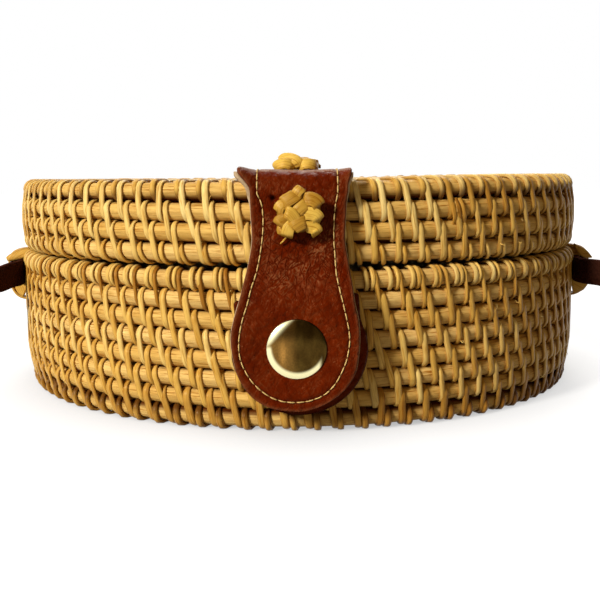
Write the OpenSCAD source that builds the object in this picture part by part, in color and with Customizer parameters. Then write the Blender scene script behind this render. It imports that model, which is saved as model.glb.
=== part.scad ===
// Round woven rattan shoulder bag, lying on its back with the clasp towards -Y.
// Base and lid are coils of wrapped rod; two lashings at +Y let the lid open like a book.

/* [Woven case] */
// Overall diameter across the woven wall
case_d = 200; // [190:5:240]
// Thickness of a rod with the strand that wraps it
wrap_d = 6.4; // [6.2:0.1:6.8]
// Distance from one rod to the next
row_step = 5.6; // [5.4:0.1:5.8]
// Rods in the base's wall, with the corner rod
base_rows = 8; // [7:1:10]
// Rods in the lid's wall, with the corner rod
lid_rows = 4; // [4:1:6]
// Gap between the two rims when the lid is shut
parting_gap = 1.6; // [1.5:0.1:2.4]
// How far the base's corner rod is drawn in
base_corner_inset = 2; // [1.6:0.2:3.6]
// How far the lid's corner rod is drawn in
lid_corner_inset = 1.8; // [1:0.2:3]
// How far the lid's rim rod is drawn in
lid_rim_inset = 1.2; // [0.6:0.2:1.6]
// Radius of the first ring round the plugged middle of a face
face_start_r = 4; // [3.6:0.1:5]
// Depth cut flat under the base, where the bag rests
rest_cut = 0.3; // [0.2:0.1:0.6]

/* [Lining] */
// Thickness of the cotton lining
lining_t = 0.8; // [0.5:0.1:1.2]
// Space between the lining and the rods behind it
lining_gap = 0.2; // [0.1:0.1:0.5]

/* [Hinge lashings] */
// Distance between the middles of the two lashings
hinge_spacing = 30; // [26:1:60]
// Width of one turn of lashing along its rod
band_w = 4.6; // [3:0.2:6]
// Thickness of a lashing strand
strand_t = 1; // [0.8:0.1:1.2]
// How far the hinge line lies outside the wall
hinge_out = 0.4; // [0.3:0.1:1]

/* [Leather clasp] */
// Width of the clasp where it is tied to the lid
clasp_w = 26; // [22:1:32]
// Length of the clasp on the lid's face
clasp_top_l = 32; // [26:1:50]
// Thickness of the outer leather
leather_t = 1.4; // [1:0.1:1.8]
// Thickness of the suede backing
backing_t = 1; // [0.6:0.1:1.4]
// Inner radius of the fold over the lid's edge
fold_r = 4; // [3:0.5:6]
// Height of the bend line above the lid's lower edge
bend_rise = 5; // [4:0.5:6]
// Distance from the bend line down to the press stud
flap_drop = 27.5; // [25:0.5:30]
// Diameter of the flap's round end
flap_end_d = 34.8; // [30:0.4:38]
// How far the press stud hangs to the left of the middle
flap_sway = 0.7; // [0:0.1:1.5]
// Width of the catch tab at its straight top edge
catch_w = 34; // [28:1:36]
// Diameter of the catch tab's round end
catch_d = 37; // [36:0.5:40]
// Height of the catch tab's top edge above the press stud
catch_rise = 13; // [12:0.5:14]

/* [Press stud] */
// Diameter of the domed cap
cap_d = 16; // [12:0.5:18]
// Height of the cap above the leather
cap_h = 1.8; // [1.2:0.1:2.4]
// Diameter of the cap's post
post_d = 3.4; // [2.6:0.2:3.8]
// Outer diameter of the socket
socket_d = 10.5; // [9:0.5:12]
// Height of the socket
socket_h = 2.2; // [1.8:0.1:2.6]
// Diameter of the stud's head
stud_head_d = 4.6; // [4:0.2:5]
// Diameter of the stud's neck
stud_neck_d = 3.6; // [3:0.2:3.8]

/* [Rattan knots] */
// Diameter of a knot on the clasp
knot_d = 13.6; // [10:0.2:14]
// Height of a knot on the clasp
knot_h = 4.8; // [3:0.2:5]
// Width of a knot's flat strand
knot_strand_w = 3.8; // [2.5:0.1:4.5]

/* [Shoulder strap] */
// Width of the leather strap
strap_w = 8.6; // [7:0.2:9]
// Thickness of the leather strap
strap_t = 2.1; // [1.6:0.1:2.4]
// How far the strap's middle lies below the base's rim rod
strap_drop = 4; // [3.6:0.2:6]
// Angle round the case from the clasp to a strap lashing
strap_angle = 77.5; // [70:0.5:90]
// Width of a strap lashing along the wall
strap_lash_w = 5; // [4:0.2:7]

/* [Hidden] */
$fn = 64;

// Sides of a rod's round section
rod_fn = 16;

rattan = "#d9b46c";
straw = "#e6cd96";
leather = "#6a2a12";
suede = "#c8a878";
cotton = "#eee6d2";
gold = "#d8c38a";
strap_brown = "#2a0c06";

// Overrun of every cut past the face that it opens
over = 1;

// Rods: radius of a wrapped rod, and the circle that its middle follows in a straight wall
wrap_r = wrap_d / 2;
wall_r = case_d / 2;
coil_r = wall_r - wrap_r;
// Share of a corner's inset that the rod next to it still has
second_rod_share = 0.35;
function inset_share(i) = i == 0 ? 1 : i == 1 ? second_rod_share : 0;

function base_z(i) = wrap_r - rest_cut + i * row_step;
function base_r(i) = coil_r - base_corner_inset * inset_share(i);
base_rim_z = base_z(base_rows - 1);
base_rim_r = base_r(base_rows - 1);
base_top = base_rim_z + wrap_r;

lid_bottom = base_top + parting_gap;
function lid_z(i) = lid_bottom + wrap_r + i * row_step;
function lid_r(i) = coil_r - lid_rim_inset * inset_share(i)
  - lid_corner_inset * inset_share(lid_rows - 1 - i);
lid_rim_z = lid_z(0);
lid_rim_r = lid_r(0);
lid_face_z = lid_z(lid_rows - 1);
lid_top = lid_face_z + wrap_r;

// Thickness of the plug in the middle of a face
face_plug_t = wrap_d - 2 * rest_cut;

// Hinge lashings: each turn is a ring round its rim rod, beside the other body's turn
band_fit = 0.1;
band_in_r = wrap_r + band_fit;
band_out_r = band_in_r + strand_t;
band_gap = 0.4;
notch_gap = 0.2;
band_shift = (band_w + band_gap) / 2;
hinge_y = wall_r + hinge_out;
hinge_z = (base_top + lid_bottom) / 2;

// Linings: just inside the tightest rod of their wall, and short of the lashings
base_lining_r = base_r(1) - wrap_r - lining_gap;
base_lining_z = base_z(0) + wrap_r + lining_gap;
base_lining_top = base_rim_z - band_out_r - lining_gap;
lid_lining_r = min(lid_r(1), lid_r(lid_rows - 2)) - wrap_r - lining_gap;
lid_lining_z = lid_face_z - wrap_r - lining_gap;
lid_lining_low = lid_rim_z + band_out_r + lining_gap;

// Clasp on the lid: how far its inner face stands off the wall and off the lid's face
clasp_seat = 0.3;
clasp_face_gap = 0.2;
clasp_in = wall_r + clasp_seat;
clasp_t = leather_t + backing_t;
clasp_top_z = lid_top + clasp_face_gap;
bend_z = lid_bottom + bend_rise;
bend_y = clasp_in + clasp_t;
bend_gap = 0.2;
clasp_corner_r = 5;

// Catch tab, which stands off the wall by its rivet's head
catch_gap = 0.6;
catch_in = wall_r + catch_gap;
catch_out = catch_in + leather_t;
rivet_head_d = 8;
rivet_head_t = 0.3;
hole_fit = 0.05;
snap_x = -flap_sway;
snap_z = bend_z - flap_drop;
tie_w = 9;
tie_h = 3.4;
tie_t = 0.8;
tie_rise = 9.6;

// Press stud: flange on the tab, head in the socket, socket on the flap
stud_flange_d = 9;
stud_flange_t = 0.4;
snap_run = 0.2;
socket_floor_t = 0.6;
socket_rim_r = 0.5;
cap_rim_t = 0.4;
// Sides of the cap's dome, which is a small piece of a wide sphere
dome_fn = 240;
snap_gap = stud_flange_t + snap_run + socket_h;
stud_h = snap_gap - socket_floor_t - snap_run;
stud_head_h = 1;
socket_bore_d = stud_head_d + 2 * snap_run;

// Flap: down from the bend line, out over the snap, then parallel to the wall
flap_out = catch_out + snap_gap - clasp_in;
flap_slope_from = 2;
flap_slope_to = 15;
flap_end_r = flap_end_d / 2;
// The flap's straight sides run into its round end just inside it
flare_share = 0.98;
flap_tip = flap_drop + flap_end_r;

// Clasp knots: flat strands crossed over one another, each a little shorter
knot_strands = 4;
knot_taper_share = 0.1;
knot_top_set = 17;
knot_front_rise = 9.4;

// Strap lashings and the folded strap ends that they hold
strap_seat = 0.3;
strap_z = base_rim_z - strap_drop;
strap_fold_gap = 0.3;
strap_in_r = wall_r + strap_seat;
strap_mid_r = strap_in_r + strap_t / 2;
strap_top_r = strap_in_r + strap_t + strap_fold_gap;
lash_seat = 0.15;
lash_in_r = wall_r + lash_seat;
lash_fit = 0.2;
lash_out_r = strap_top_r + strap_t + lash_fit + strand_t;
lash_top = base_top + parting_gap / 2;
// The lashing's lower leg ends at the groove this many rods below the rim rod
lash_rods_down = 3;
lash_low = base_z(base_rows - 1 - lash_rods_down) + row_step / 2;
// Steps along a layer and round the fold of a strap's end
arc_steps = 4;
fold_steps = 10;
function arc_deg(length, radius) = length / radius * 180 / PI;
exit_angle = strap_angle - arc_deg(strap_lash_w / 2 + strand_t, wall_r);
fold_angle = strap_angle + arc_deg(strap_lash_w / 2 + 3 * strand_t, wall_r);
tail_angle = strap_angle - arc_deg(strap_lash_w / 2, wall_r);

// Route of the strap's middle, from where it leaves the left lashing to where it
// enters the right one: out past the side, back, down to stand on its edge behind the
// bag, and folded there in three runs
strap_left_route = [[-97, -32, 38], [-98, -38, 38], [-101, -44, 37], [-106, -48, 37],
  [-112, -50, 36], [-118, -50, 36], [-124, -48, 35], [-129, -44, 35], [-132, -38, 34],
  [-133, -32, 34], [-134, -16, 32], [-134, 2, 31], [-134, 20, 29], [-133, 38, 28],
  [-132, 56, 27], [-131, 72, 26], [-129, 88, 24], [-124, 103, 20], [-114, 114, 14],
  [-100, 118, 9]];
strap_hank_route = [[-82, 119, 6], [-64, 119, 4.5], [-46, 119, 4.5], [-28, 119, 4.5],
  [-10, 119, 4.5], [8, 119, 4.5], [26, 119, 4.5], [44, 119, 4.5], [62, 119, 4.5],
  [69, 120, 4.5], [76, 124, 4.5], [80, 130, 4.5], [81, 137, 4.5], [80, 144, 4.5],
  [76, 150, 4.5], [69, 154, 4.5], [62, 155, 4.5], [44, 155, 4.5], [26, 155, 4.5],
  [8, 155, 4.5], [-10, 155, 4.5], [-28, 155, 4.5], [-46, 155, 4.5], [-64, 155, 4.5],
  [-71, 156, 4.5], [-78, 160, 4.5], [-82, 166, 4.5], [-83, 173, 4.5], [-82, 180, 4.5],
  [-78, 186, 4.5], [-71, 190, 4.5], [-64, 191, 4.5], [-46, 191, 4.5], [-28, 191, 4.5],
  [-10, 191, 4.5], [8, 191, 4.5], [26, 191, 4.5], [44, 190, 4.5], [62, 187, 4.5]];
strap_right_route = [[79, 181, 5], [94, 171, 7], [106, 158, 10], [115, 142, 13],
  [122, 125, 17], [127, 107, 21], [130, 89, 24], [131, 72, 26], [132, 56, 28],
  [133, 38, 29], [134, 20, 30], [134, 2, 31], [134, -16, 33], [133, -32, 34],
  [132, -38, 35], [129, -44, 35], [124, -48, 36], [118, -50, 36], [112, -50, 37],
  [106, -48, 37], [101, -44, 38], [98, -38, 38], [97, -32, 38]];
strap_edge = 0.5;

// The wall's outward direction at an angle round from the clasp, in plan and in space
function flat_wall(angle) = [sin(angle), -cos(angle)];
function round_wall(angle) = concat(flat_wall(angle), 0);
function strap_exit(side) = strap_mid_r * round_wall(side * exit_angle) + [0, 0, strap_z];

// Where a line from point p touches a circle of radius r round c, on the side s
function touch(p, c, r, s) =
  let (d = norm(p - c), b = atan2(p.y - c.y, p.x - c.x), a = acos(r / d))
  c + r * [cos(b - s * a), sin(b - s * a)];

// Shared shapes of the woven case

// Half of a wrapped wall or face, cut through: one circle for each rod
module rods(places) {
  for (p = places) translate(p) circle(wrap_r, $fn = rod_fn);
}

// Rods of a flat face, from the plugged middle out to the corner rod
function face_places(corner_r, z) =
  let (n = round((corner_r - face_start_r) / row_step))
  [for (i = [0:n]) [face_start_r + i * (corner_r - face_start_r) / n, z]];

module face(corner_r, z) {
  rods(face_places(corner_r, z));
  translate([0, z - face_plug_t / 2]) square([face_start_r, face_plug_t]);
}

// What of a profile lies between two heights
module between(low, high) {
  intersection() {
    children();
    translate([0, low]) square([case_d, high - low]);
  }
}

// A ring sector about the case's axis, its middle at x on the +Y side of a rod of radius r
module back_sector(x, r, width) {
  turn = arc_deg(width, r);
  rotate([0, 0, 90 - asin(x / r) - turn / 2]) rotate_extrude(angle = turn) children();
}

module hinge_band(x, r, z) {
  back_sector(x, r, band_w) translate([r, z]) difference() {
    circle(band_out_r);
    circle(band_in_r);
  }
}

// Room for a lashing in the rod beside the rim
module hinge_notch(x, r, z) {
  back_sector(x, r, band_w + 2 * notch_gap) translate([r, z]) circle(band_out_r + notch_gap);
}

base_band_x = hinge_spacing / 2 - band_shift;
lid_band_x = hinge_spacing / 2 + band_shift;

// Base

module base_back_coils() {
  color(straw) rotate_extrude()
    between(0, base_z(0) + row_step / 2) face(base_r(0), base_z(0));
}

module base_wall_coils() {
  color(straw) difference() {
    rotate_extrude()
      between(base_z(0) + row_step / 2, base_rim_z - row_step / 2)
        rods([for (i = [1:base_rows - 2]) [base_r(i), base_z(i)]]);
    for (s = [-1, 1]) hinge_notch(s * base_band_x, base_rim_r, base_rim_z);
  }
}

module base_rim_coil() {
  color(rattan) rotate_extrude()
    between(base_rim_z - row_step / 2, base_top + over) rods([[base_rim_r, base_rim_z]]);
}

module base_lining() {
  color(cotton) rotate_extrude() {
    translate([0, base_lining_z]) square([base_lining_r, lining_t]);
    translate([base_lining_r - lining_t, base_lining_z])
      square([lining_t, base_lining_top - base_lining_z]);
  }
}

module hinge_band_left_base() {
  color(rattan) hinge_band(-base_band_x, base_rim_r, base_rim_z);
}

module hinge_band_right_base() {
  color(rattan) hinge_band(base_band_x, base_rim_r, base_rim_z);
}

// Lid

module lid_front_coils() {
  color(straw) rotate_extrude()
    between(lid_face_z - row_step / 2, lid_top + over)
      face(lid_r(lid_rows - 1), lid_face_z);
}

module lid_wall_coils() {
  color(straw) difference() {
    rotate_extrude()
      between(lid_rim_z + row_step / 2, lid_face_z - row_step / 2)
        rods([for (i = [1:lid_rows - 2]) [lid_r(i), lid_z(i)]]);
    for (s = [-1, 1]) hinge_notch(s * lid_band_x, lid_rim_r, lid_rim_z);
  }
}

module lid_rim_coil() {
  color(rattan) rotate_extrude()
    between(lid_bottom - over, lid_rim_z + row_step / 2) rods([[lid_rim_r, lid_rim_z]]);
}

module lid_lining() {
  color(cotton) rotate_extrude() {
    translate([0, lid_lining_z - lining_t]) square([lid_lining_r, lining_t]);
    translate([lid_lining_r - lining_t, lid_lining_low])
      square([lining_t, lid_lining_z - lid_lining_low]);
  }
}

module hinge_band_left_lid() {
  color(rattan) hinge_band(-lid_band_x, lid_rim_r, lid_rim_z);
}

module hinge_band_right_lid() {
  color(rattan) hinge_band(lid_band_x, lid_rim_r, lid_rim_z);
}

// Leather clasp

// A side view, drawn outward and up, made as wide as the clasp
module side_plate(width) {
  rotate([90, 0, -90]) linear_extrude(width, center = true) children();
}

// A front view, drawn right and up, made solid from the plane y = -from outwards
module front_plate(from, thickness) {
  translate([0, -from, 0]) rotate([90, 0, 0]) linear_extrude(thickness) children();
}

// One ply of the clasp on the lid: along the face, over the edge and down to the bend
module clasp_ply(off, thickness) {
  mid = [clasp_in - fold_r, clasp_top_z - fold_r];
  inner_r = fold_r + off;
  outer_r = inner_r + thickness;
  intersection() {
    side_plate(clasp_w) {
      translate([clasp_in - clasp_top_l, mid.y + inner_r])
        square([clasp_top_l - fold_r, thickness]);
      translate([mid.x + inner_r, bend_z + bend_gap])
        square([thickness, mid.y - bend_z - bend_gap]);
      translate(mid) intersection() {
        difference() {
          circle(outer_r);
          circle(inner_r);
        }
        square(outer_r);
      }
    }
    clasp_plan();
  }
}

// Plan of the clasp with its round corners on the lid's face
module clasp_plan() {
  back_y = -clasp_in + clasp_top_l;
  translate([0, 0, bend_z - over]) linear_extrude(clasp_top_z + clasp_t - bend_z + 2 * over) {
    translate([-clasp_w / 2, -wall_r - 2 * clasp_t])
      square([clasp_w, back_y + wall_r + 2 * clasp_t - clasp_corner_r]);
    translate([-clasp_w / 2 + clasp_corner_r, -wall_r])
      square([clasp_w - 2 * clasp_corner_r, back_y + wall_r]);
    for (s = [-1, 1])
      translate([s * (clasp_w / 2 - clasp_corner_r), back_y - clasp_corner_r])
        circle(clasp_corner_r);
  }
}

module clasp_strap() {
  color(leather) clasp_ply(backing_t, leather_t);
}

module clasp_strap_backing() {
  color(suede) clasp_ply(0, backing_t);
}

// Front view of the flap: from the bend line, flaring to its round end
module flap_outline() {
  end = [snap_x, -flap_drop];
  right = [clasp_w / 2, -bend_gap];
  left = [-clasp_w / 2, -bend_gap];
  flare_r = flap_end_r * flare_share;
  polygon([left, touch(left, end, flare_r, -1), touch(right, end, flare_r, 1), right]);
  translate(end) circle(flap_end_r);
}

// One ply of the flap
module flap_ply(off, thickness) {
  translate([0, 0, bend_z]) difference() {
    intersection() {
      side_plate(flap_end_d + 4 * flap_sway + 2 * over) translate([clasp_in + off, 0])
        polygon([[0, over], [0, -flap_slope_from], [flap_out, -flap_slope_to],
          [flap_out, -flap_tip - over], [flap_out + thickness, -flap_tip - over],
          [flap_out + thickness, -flap_slope_to], [thickness, -flap_slope_from],
          [thickness, over]]);
      front_plate(clasp_in - over, flap_out + clasp_t + 2 * over) flap_outline();
    }
    translate([snap_x, 0, -flap_drop])
      front_plate(clasp_in, flap_out + clasp_t + over) circle(post_d / 2 + hole_fit);
  }
}

module clasp_flap() {
  color(leather) flap_ply(backing_t, leather_t);
}

module clasp_flap_backing() {
  color(suede) flap_ply(0, backing_t);
}

// Front view of the catch tab: straight top edge, round end
module catch_outline() {
  low = catch_d / 2 + over;
  intersection() {
    union() {
      circle(catch_d / 2);
      translate([-catch_w / 2, 0]) square([catch_w, low]);
    }
    translate([-low, -low]) square([2 * low, low + catch_rise]);
  }
}

module catch_tab() {
  color(leather) translate([0, 0, snap_z]) difference() {
    front_plate(catch_in, leather_t) catch_outline();
    translate([snap_x, 0, 0]) front_plate(catch_in - over, leather_t + 2 * over)
      circle(post_d / 2 + hole_fit);
  }
}

// Flat stitch of rattan that ties the catch tab to the wall, above the press stud
module catch_tab_tie() {
  color(rattan) translate([0, 0, snap_z + tie_rise]) front_plate(catch_out, tie_t)
    intersection() {
      circle(tie_w / 2);
      square([tie_w, tie_h], center = true);
    }
}

// Press stud

// Places a profile, drawn from the axis outwards and up, on the snap's axis
module on_snap(from) {
  translate([snap_x, -from, snap_z]) rotate([90, 0, 0]) rotate_extrude() children();
}

module snap_cap() {
  dome_h = cap_h - cap_rim_t;
  dome_r = (pow(cap_d / 2, 2) + dome_h * dome_h) / (2 * dome_h);
  color(gold) translate([snap_x, -clasp_in - flap_out - clasp_t, snap_z]) rotate([90, 0, 0]) {
    cylinder(h = cap_rim_t, d = cap_d);
    translate([0, 0, -clasp_t - socket_floor_t]) cylinder(h = clasp_t + socket_floor_t, d = post_d);
    intersection() {
      translate([0, 0, cap_h - dome_r]) sphere(dome_r, $fn = dome_fn);
      translate([0, 0, cap_rim_t]) cylinder(h = dome_h, d = cap_d);
    }
  }
}

module snap_socket() {
  color(gold) on_snap(catch_out + stud_flange_t + snap_run) difference() {
    union() {
      square([socket_d / 2 - socket_rim_r, socket_h]);
      translate([0, socket_rim_r]) square([socket_d / 2, socket_h - socket_rim_r]);
      translate([socket_d / 2 - socket_rim_r, socket_rim_r]) circle(socket_rim_r);
    }
    translate([0, -over]) square([socket_bore_d / 2, socket_h - socket_floor_t + over]);
    square([post_d / 2 + hole_fit, socket_h + over]);
  }
}

module snap_stud() {
  neck_r = stud_neck_d / 2;
  head_r = stud_head_d / 2;
  color(gold) on_snap(catch_out) {
    square([stud_flange_d / 2, stud_flange_t]);
    square([neck_r, stud_h]);
    translate([0, stud_h - stud_head_h]) square([neck_r, stud_head_h]);
    translate([head_r - stud_head_h / 2, stud_h - stud_head_h / 2]) circle(stud_head_h / 2);
    translate([0, stud_h - stud_head_h]) square([head_r - stud_head_h / 2, stud_head_h]);
  }
}

module snap_rivet() {
  color(gold) on_snap(catch_in) {
    translate([0, -rivet_head_t]) square([rivet_head_d / 2, rivet_head_t]);
    square([post_d / 2, leather_t]);
  }
}

// Rattan knot on the clasp: round-ended flat strands, stacked and turned, on the plane z = 0
module knot() {
  t = knot_h / knot_strands;
  for (i = [0:knot_strands - 1]) {
    reach = (knot_d * (1 - i * knot_taper_share) - knot_strand_w) / 2;
    translate([0, 0, i * t]) rotate([0, 0, (i + 0.5) * 180 / knot_strands]) {
      translate([-reach, -knot_strand_w / 2, 0]) cube([2 * reach, knot_strand_w, t]);
      for (s = [-1, 1]) translate([s * reach, 0, 0]) cylinder(h = t, d = knot_strand_w);
    }
  }
}

module clasp_knot_top() {
  color(rattan) translate([0, -clasp_in + knot_top_set, clasp_top_z + clasp_t]) knot();
}

module clasp_knot_front() {
  color(rattan) translate([0, -bend_y, bend_z + knot_front_rise]) rotate([90, 0, 0]) knot();
}

// Shoulder strap

// A sector of the case between two angles round from the clasp, on one side
module side_sector(side, from, to) {
  start = side > 0 ? from : -to;
  rotate([0, 0, start - 90]) rotate_extrude(angle = to - from) children();
}

// Lashing over the strap, from the parting gap down to a groove between two rods
module strap_lashing(side) {
  half = strap_w / 2 + strand_t / 2;
  side_sector(side, strap_angle - arc_deg(strap_lash_w / 2, wall_r),
    strap_angle + arc_deg(strap_lash_w / 2, wall_r)) difference() {
    polygon([[lash_in_r, lash_low - strand_t], [lash_out_r, strap_z - half - strand_t],
      [lash_out_r, strap_z + half + strand_t], [lash_in_r, lash_top]]);
    polygon([[lash_in_r - over, lash_low + strand_t / 2],
      [lash_in_r + strand_t, lash_low + strand_t / 2],
      [lash_out_r - strand_t, strap_z - half], [lash_out_r - strand_t, strap_z + half],
      [lash_in_r + strand_t, lash_top - 1.5 * strand_t],
      [lash_in_r - over, lash_top - 1.5 * strand_t]]);
  }
}

module strap_lashing_left() {
  color(rattan) strap_lashing(-1);
}

module strap_lashing_right() {
  color(rattan) strap_lashing(1);
}

// Plan of the strap's end on the right: under the lashing, folded back over itself and
// under it again
function arc_points(radius, from, to) =
  [for (i = [0:arc_steps]) radius * flat_wall(from + (to - from) * i / arc_steps)];
function fold_points(radius, from, to) =
  let (mid = (strap_top_r - strap_fold_gap / 2) * flat_wall(fold_angle),
       out = flat_wall(fold_angle), on = [-out.y, out.x])
  [for (i = [1:fold_steps - 1]) let (turn = from + (to - from) * i / fold_steps)
    mid + radius * (cos(turn) * out + sin(turn) * on)];
strap_end_outline = concat(
  arc_points(strap_top_r + strap_t, tail_angle, fold_angle),
  fold_points(strap_t + strap_fold_gap / 2, 0, 180),
  arc_points(strap_in_r, fold_angle, exit_angle),
  arc_points(strap_in_r + strap_t, exit_angle, fold_angle),
  fold_points(strap_fold_gap / 2, 180, 0),
  arc_points(strap_top_r, fold_angle, tail_angle));

module strap_end(side) {
  translate([0, 0, strap_z - strap_w / 2]) linear_extrude(strap_w)
    mirror([side < 0 ? 1 : 0, 0]) polygon(strap_end_outline);
}

module strap_end_left() {
  color(strap_brown) strap_end(-1);
}

module strap_end_right() {
  color(strap_brown) strap_end(1);
}

// Strap section, across and up, with its edges bevelled
strap_section = let (a = strap_t / 2, b = strap_w / 2, e = strap_edge)
  [[-a, -b + e], [-a + e, -b], [a - e, -b], [a, -b + e],
   [a, b - e], [a - e, b], [-a + e, b], [-a, b - e]];

// Sweeps the strap along points; across holds the direction across it at each point
module strap_run(points, across) {
  n = len(strap_section);
  m = len(points);
  verts = [for (i = [0:m - 1]) for (c = strap_section) points[i] + c.x * across[i] + [0, 0, c.y]];
  sides = [for (i = [0:m - 2]) for (j = [0:n - 1]) let (k = (j + 1) % n)
    each [[i * n + j, (i + 1) * n + k, i * n + k],
          [i * n + j, (i + 1) * n + j, (i + 1) * n + k]]];
  start = [for (j = [1:n - 2]) [0, j, j + 1]];
  finish = [for (j = [1:n - 2]) [(m - 1) * n, (m - 1) * n + j + 1, (m - 1) * n + j]];
  polyhedron(verts, concat(start, finish, sides));
}

strap_points = concat([strap_exit(-1)], strap_left_route, strap_hank_route,
  strap_right_route, [strap_exit(1)]);
strap_n = len(strap_points);
function flat_unit(v) = [v.x, v.y, 0] / norm([v.x, v.y]);
function strap_across(i) = i == 0 ? round_wall(-exit_angle)
  : i == strap_n - 1 ? -round_wall(exit_angle)
  : let (t = flat_unit(strap_points[i + 1] - strap_points[i - 1])) [-t.y, t.x, 0];

module strap_part(from, to) {
  strap_run([for (i = [from:to]) strap_points[i]], [for (i = [from:to]) strap_across(i)]);
}

hank_from = len(strap_left_route);
hank_to = hank_from + len(strap_hank_route) + 1;

module shoulder_strap_left() {
  color(strap_brown) strap_part(0, hank_from);
}

module shoulder_strap_hank() {
  color(strap_brown) strap_part(hank_from, hank_to);
}

module shoulder_strap_right() {
  color(strap_brown) strap_part(hank_to, strap_n - 1);
}

// Least gap between the strap's runs in the folded part, in plan
function plan_gap(i, j) = norm([strap_points[i].x - strap_points[j].x,
  strap_points[i].y - strap_points[j].y]) - strap_t;
echo(strap_gap = min([for (i = [hank_from:hank_to]) for (j = [hank_from:hank_to])
  if (abs(i - j) > 5) plan_gap(i, j)]));
echo(strap_length = [for (i = 1, l = 0; i < strap_n; l = l + norm(strap_points[i]
  - strap_points[i - 1]), i = i + 1) l][strap_n - 2]);

base_back_coils();
base_wall_coils();
base_rim_coil();
base_lining();
lid_front_coils();
lid_wall_coils();
lid_rim_coil();
lid_lining();
hinge_band_left_base();
hinge_band_right_base();
hinge_band_left_lid();
hinge_band_right_lid();
clasp_strap();
clasp_strap_backing();
clasp_flap();
clasp_flap_backing();
clasp_knot_top();
clasp_knot_front();
snap_cap();
snap_socket();
catch_tab();
catch_tab_tie();
snap_stud();
snap_rivet();
strap_lashing_left();
strap_lashing_right();
strap_end_left();
strap_end_right();
shoulder_strap_left();
shoulder_strap_hank();
shoulder_strap_right();
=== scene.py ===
"""Looks of the round rattan shoulder bag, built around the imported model."""
import math

import bpy
import numpy as np
from mathutils import Matrix, Vector

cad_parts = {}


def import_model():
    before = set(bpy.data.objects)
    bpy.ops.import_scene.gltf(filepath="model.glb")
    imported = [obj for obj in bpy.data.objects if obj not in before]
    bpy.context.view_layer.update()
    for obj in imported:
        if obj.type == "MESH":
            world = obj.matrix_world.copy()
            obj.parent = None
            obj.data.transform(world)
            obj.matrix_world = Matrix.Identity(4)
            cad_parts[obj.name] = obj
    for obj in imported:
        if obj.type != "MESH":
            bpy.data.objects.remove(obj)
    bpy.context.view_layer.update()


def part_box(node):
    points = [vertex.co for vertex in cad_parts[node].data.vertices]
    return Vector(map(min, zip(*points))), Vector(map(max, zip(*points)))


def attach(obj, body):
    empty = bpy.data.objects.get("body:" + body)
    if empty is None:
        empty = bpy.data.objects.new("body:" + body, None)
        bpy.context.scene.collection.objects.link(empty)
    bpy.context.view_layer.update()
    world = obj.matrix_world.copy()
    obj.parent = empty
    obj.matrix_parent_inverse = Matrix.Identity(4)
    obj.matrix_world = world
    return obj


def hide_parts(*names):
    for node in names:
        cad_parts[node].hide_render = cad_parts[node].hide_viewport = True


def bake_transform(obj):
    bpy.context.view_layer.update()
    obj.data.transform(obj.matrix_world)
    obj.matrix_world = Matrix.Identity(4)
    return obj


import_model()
scene = bpy.context.scene
rng = np.random.default_rng(7)

# Camera, fitted to the photograph
CAMERA_PLACE = (0.0, -0.3493, 0.0720)
CAMERA_PITCH, CAMERA_YAW, CAMERA_ROLL = 7.91, 0.07, -0.39
CAMERA_LENS, CAMERA_SENSOR = 55.12, 36.0

# Woven case: the rods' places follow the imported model
WRAP_R = 0.0032
ROW_STEP = 0.0056
BASE_ROWS, LID_ROWS = 8, 4
BASE_CORNER_INSET, LID_CORNER_INSET, LID_RIM_INSET = 0.0020, 0.0015, 0.0010
SECOND_ROD_SHARE = 0.35
FACE_START_R = 0.004
WALL_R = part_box("base_wall_coils")[1].x
COIL_R = WALL_R - WRAP_R
BASE_RIM_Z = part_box("base_rim_coil")[1].z - WRAP_R
LID_RIM_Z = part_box("lid_rim_coil")[0].z + WRAP_R
# What sets the drawn case apart from the solids: rims nearer to each other, a slightly fuller lid
# that has settled at its hinge and stands higher at its right, and a foot and floor under z = 0
RIM_NEAR, LID_FULL, LID_SETTLE, LID_LIFT = 0.00025, 0.0005, 0.0009, 0.0008
SAG = 0.0006

# Rods and the strands that bind them
ROD_R = 0.00258
STRAND_T = 0.00072
STRAND_W = 0.002
STITCHES = 89
STITCH_PITCH = 2 * math.pi * COIL_R / STITCHES
ROW_SHIFT = 0.39
# Rows of a face closer in than this share of the coil's radius have fewer stitches
FACE_SHARE = 0.96
# Hidden turns between two rods: how far in they lie, and their radius
BINDING_IN, BINDING_R = 0.001, 0.0008
# How uneven hand work is: lengths in metres, the rest as shares
PLACE_SPREAD, BOW_SPREAD, LIFT_SPREAD = 0.00022, 0.00018, 0.00008
LEAN_SPREAD, HOOK_SPREAD, WIDTH_SPREAD, TONE_SPREAD = 0.25, 0.3, 0.07, 0.035
# Least and most stitches made with one split strand
RUN_STITCHES = 9, 34

# Shoulder strap: where it leaves its lashing, folds and ends, along the wall
STRAP_W, STRAP_T = 0.0086, 0.0021
STRAP_ANGLE = math.radians(77.5)
EXIT_ANGLE = STRAP_ANGLE - 0.0035 / WALL_R
FOLD_ANGLE = STRAP_ANGLE + 0.0055 / WALL_R
TAIL_ANGLE = STRAP_ANGLE - 0.0025 / WALL_R
STRAP_Z = BASE_RIM_Z - 0.004
STRAP_GAP = 0.0003
STRAP_IN_R = WALL_R + STRAP_GAP


def stored_run(y, first, last):
    """A straight run of the stored fold, in millimetres."""
    step = 18 if last > first else -18
    return [(x, y, 4.5) for x in range(first, last + step, step)]


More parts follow.
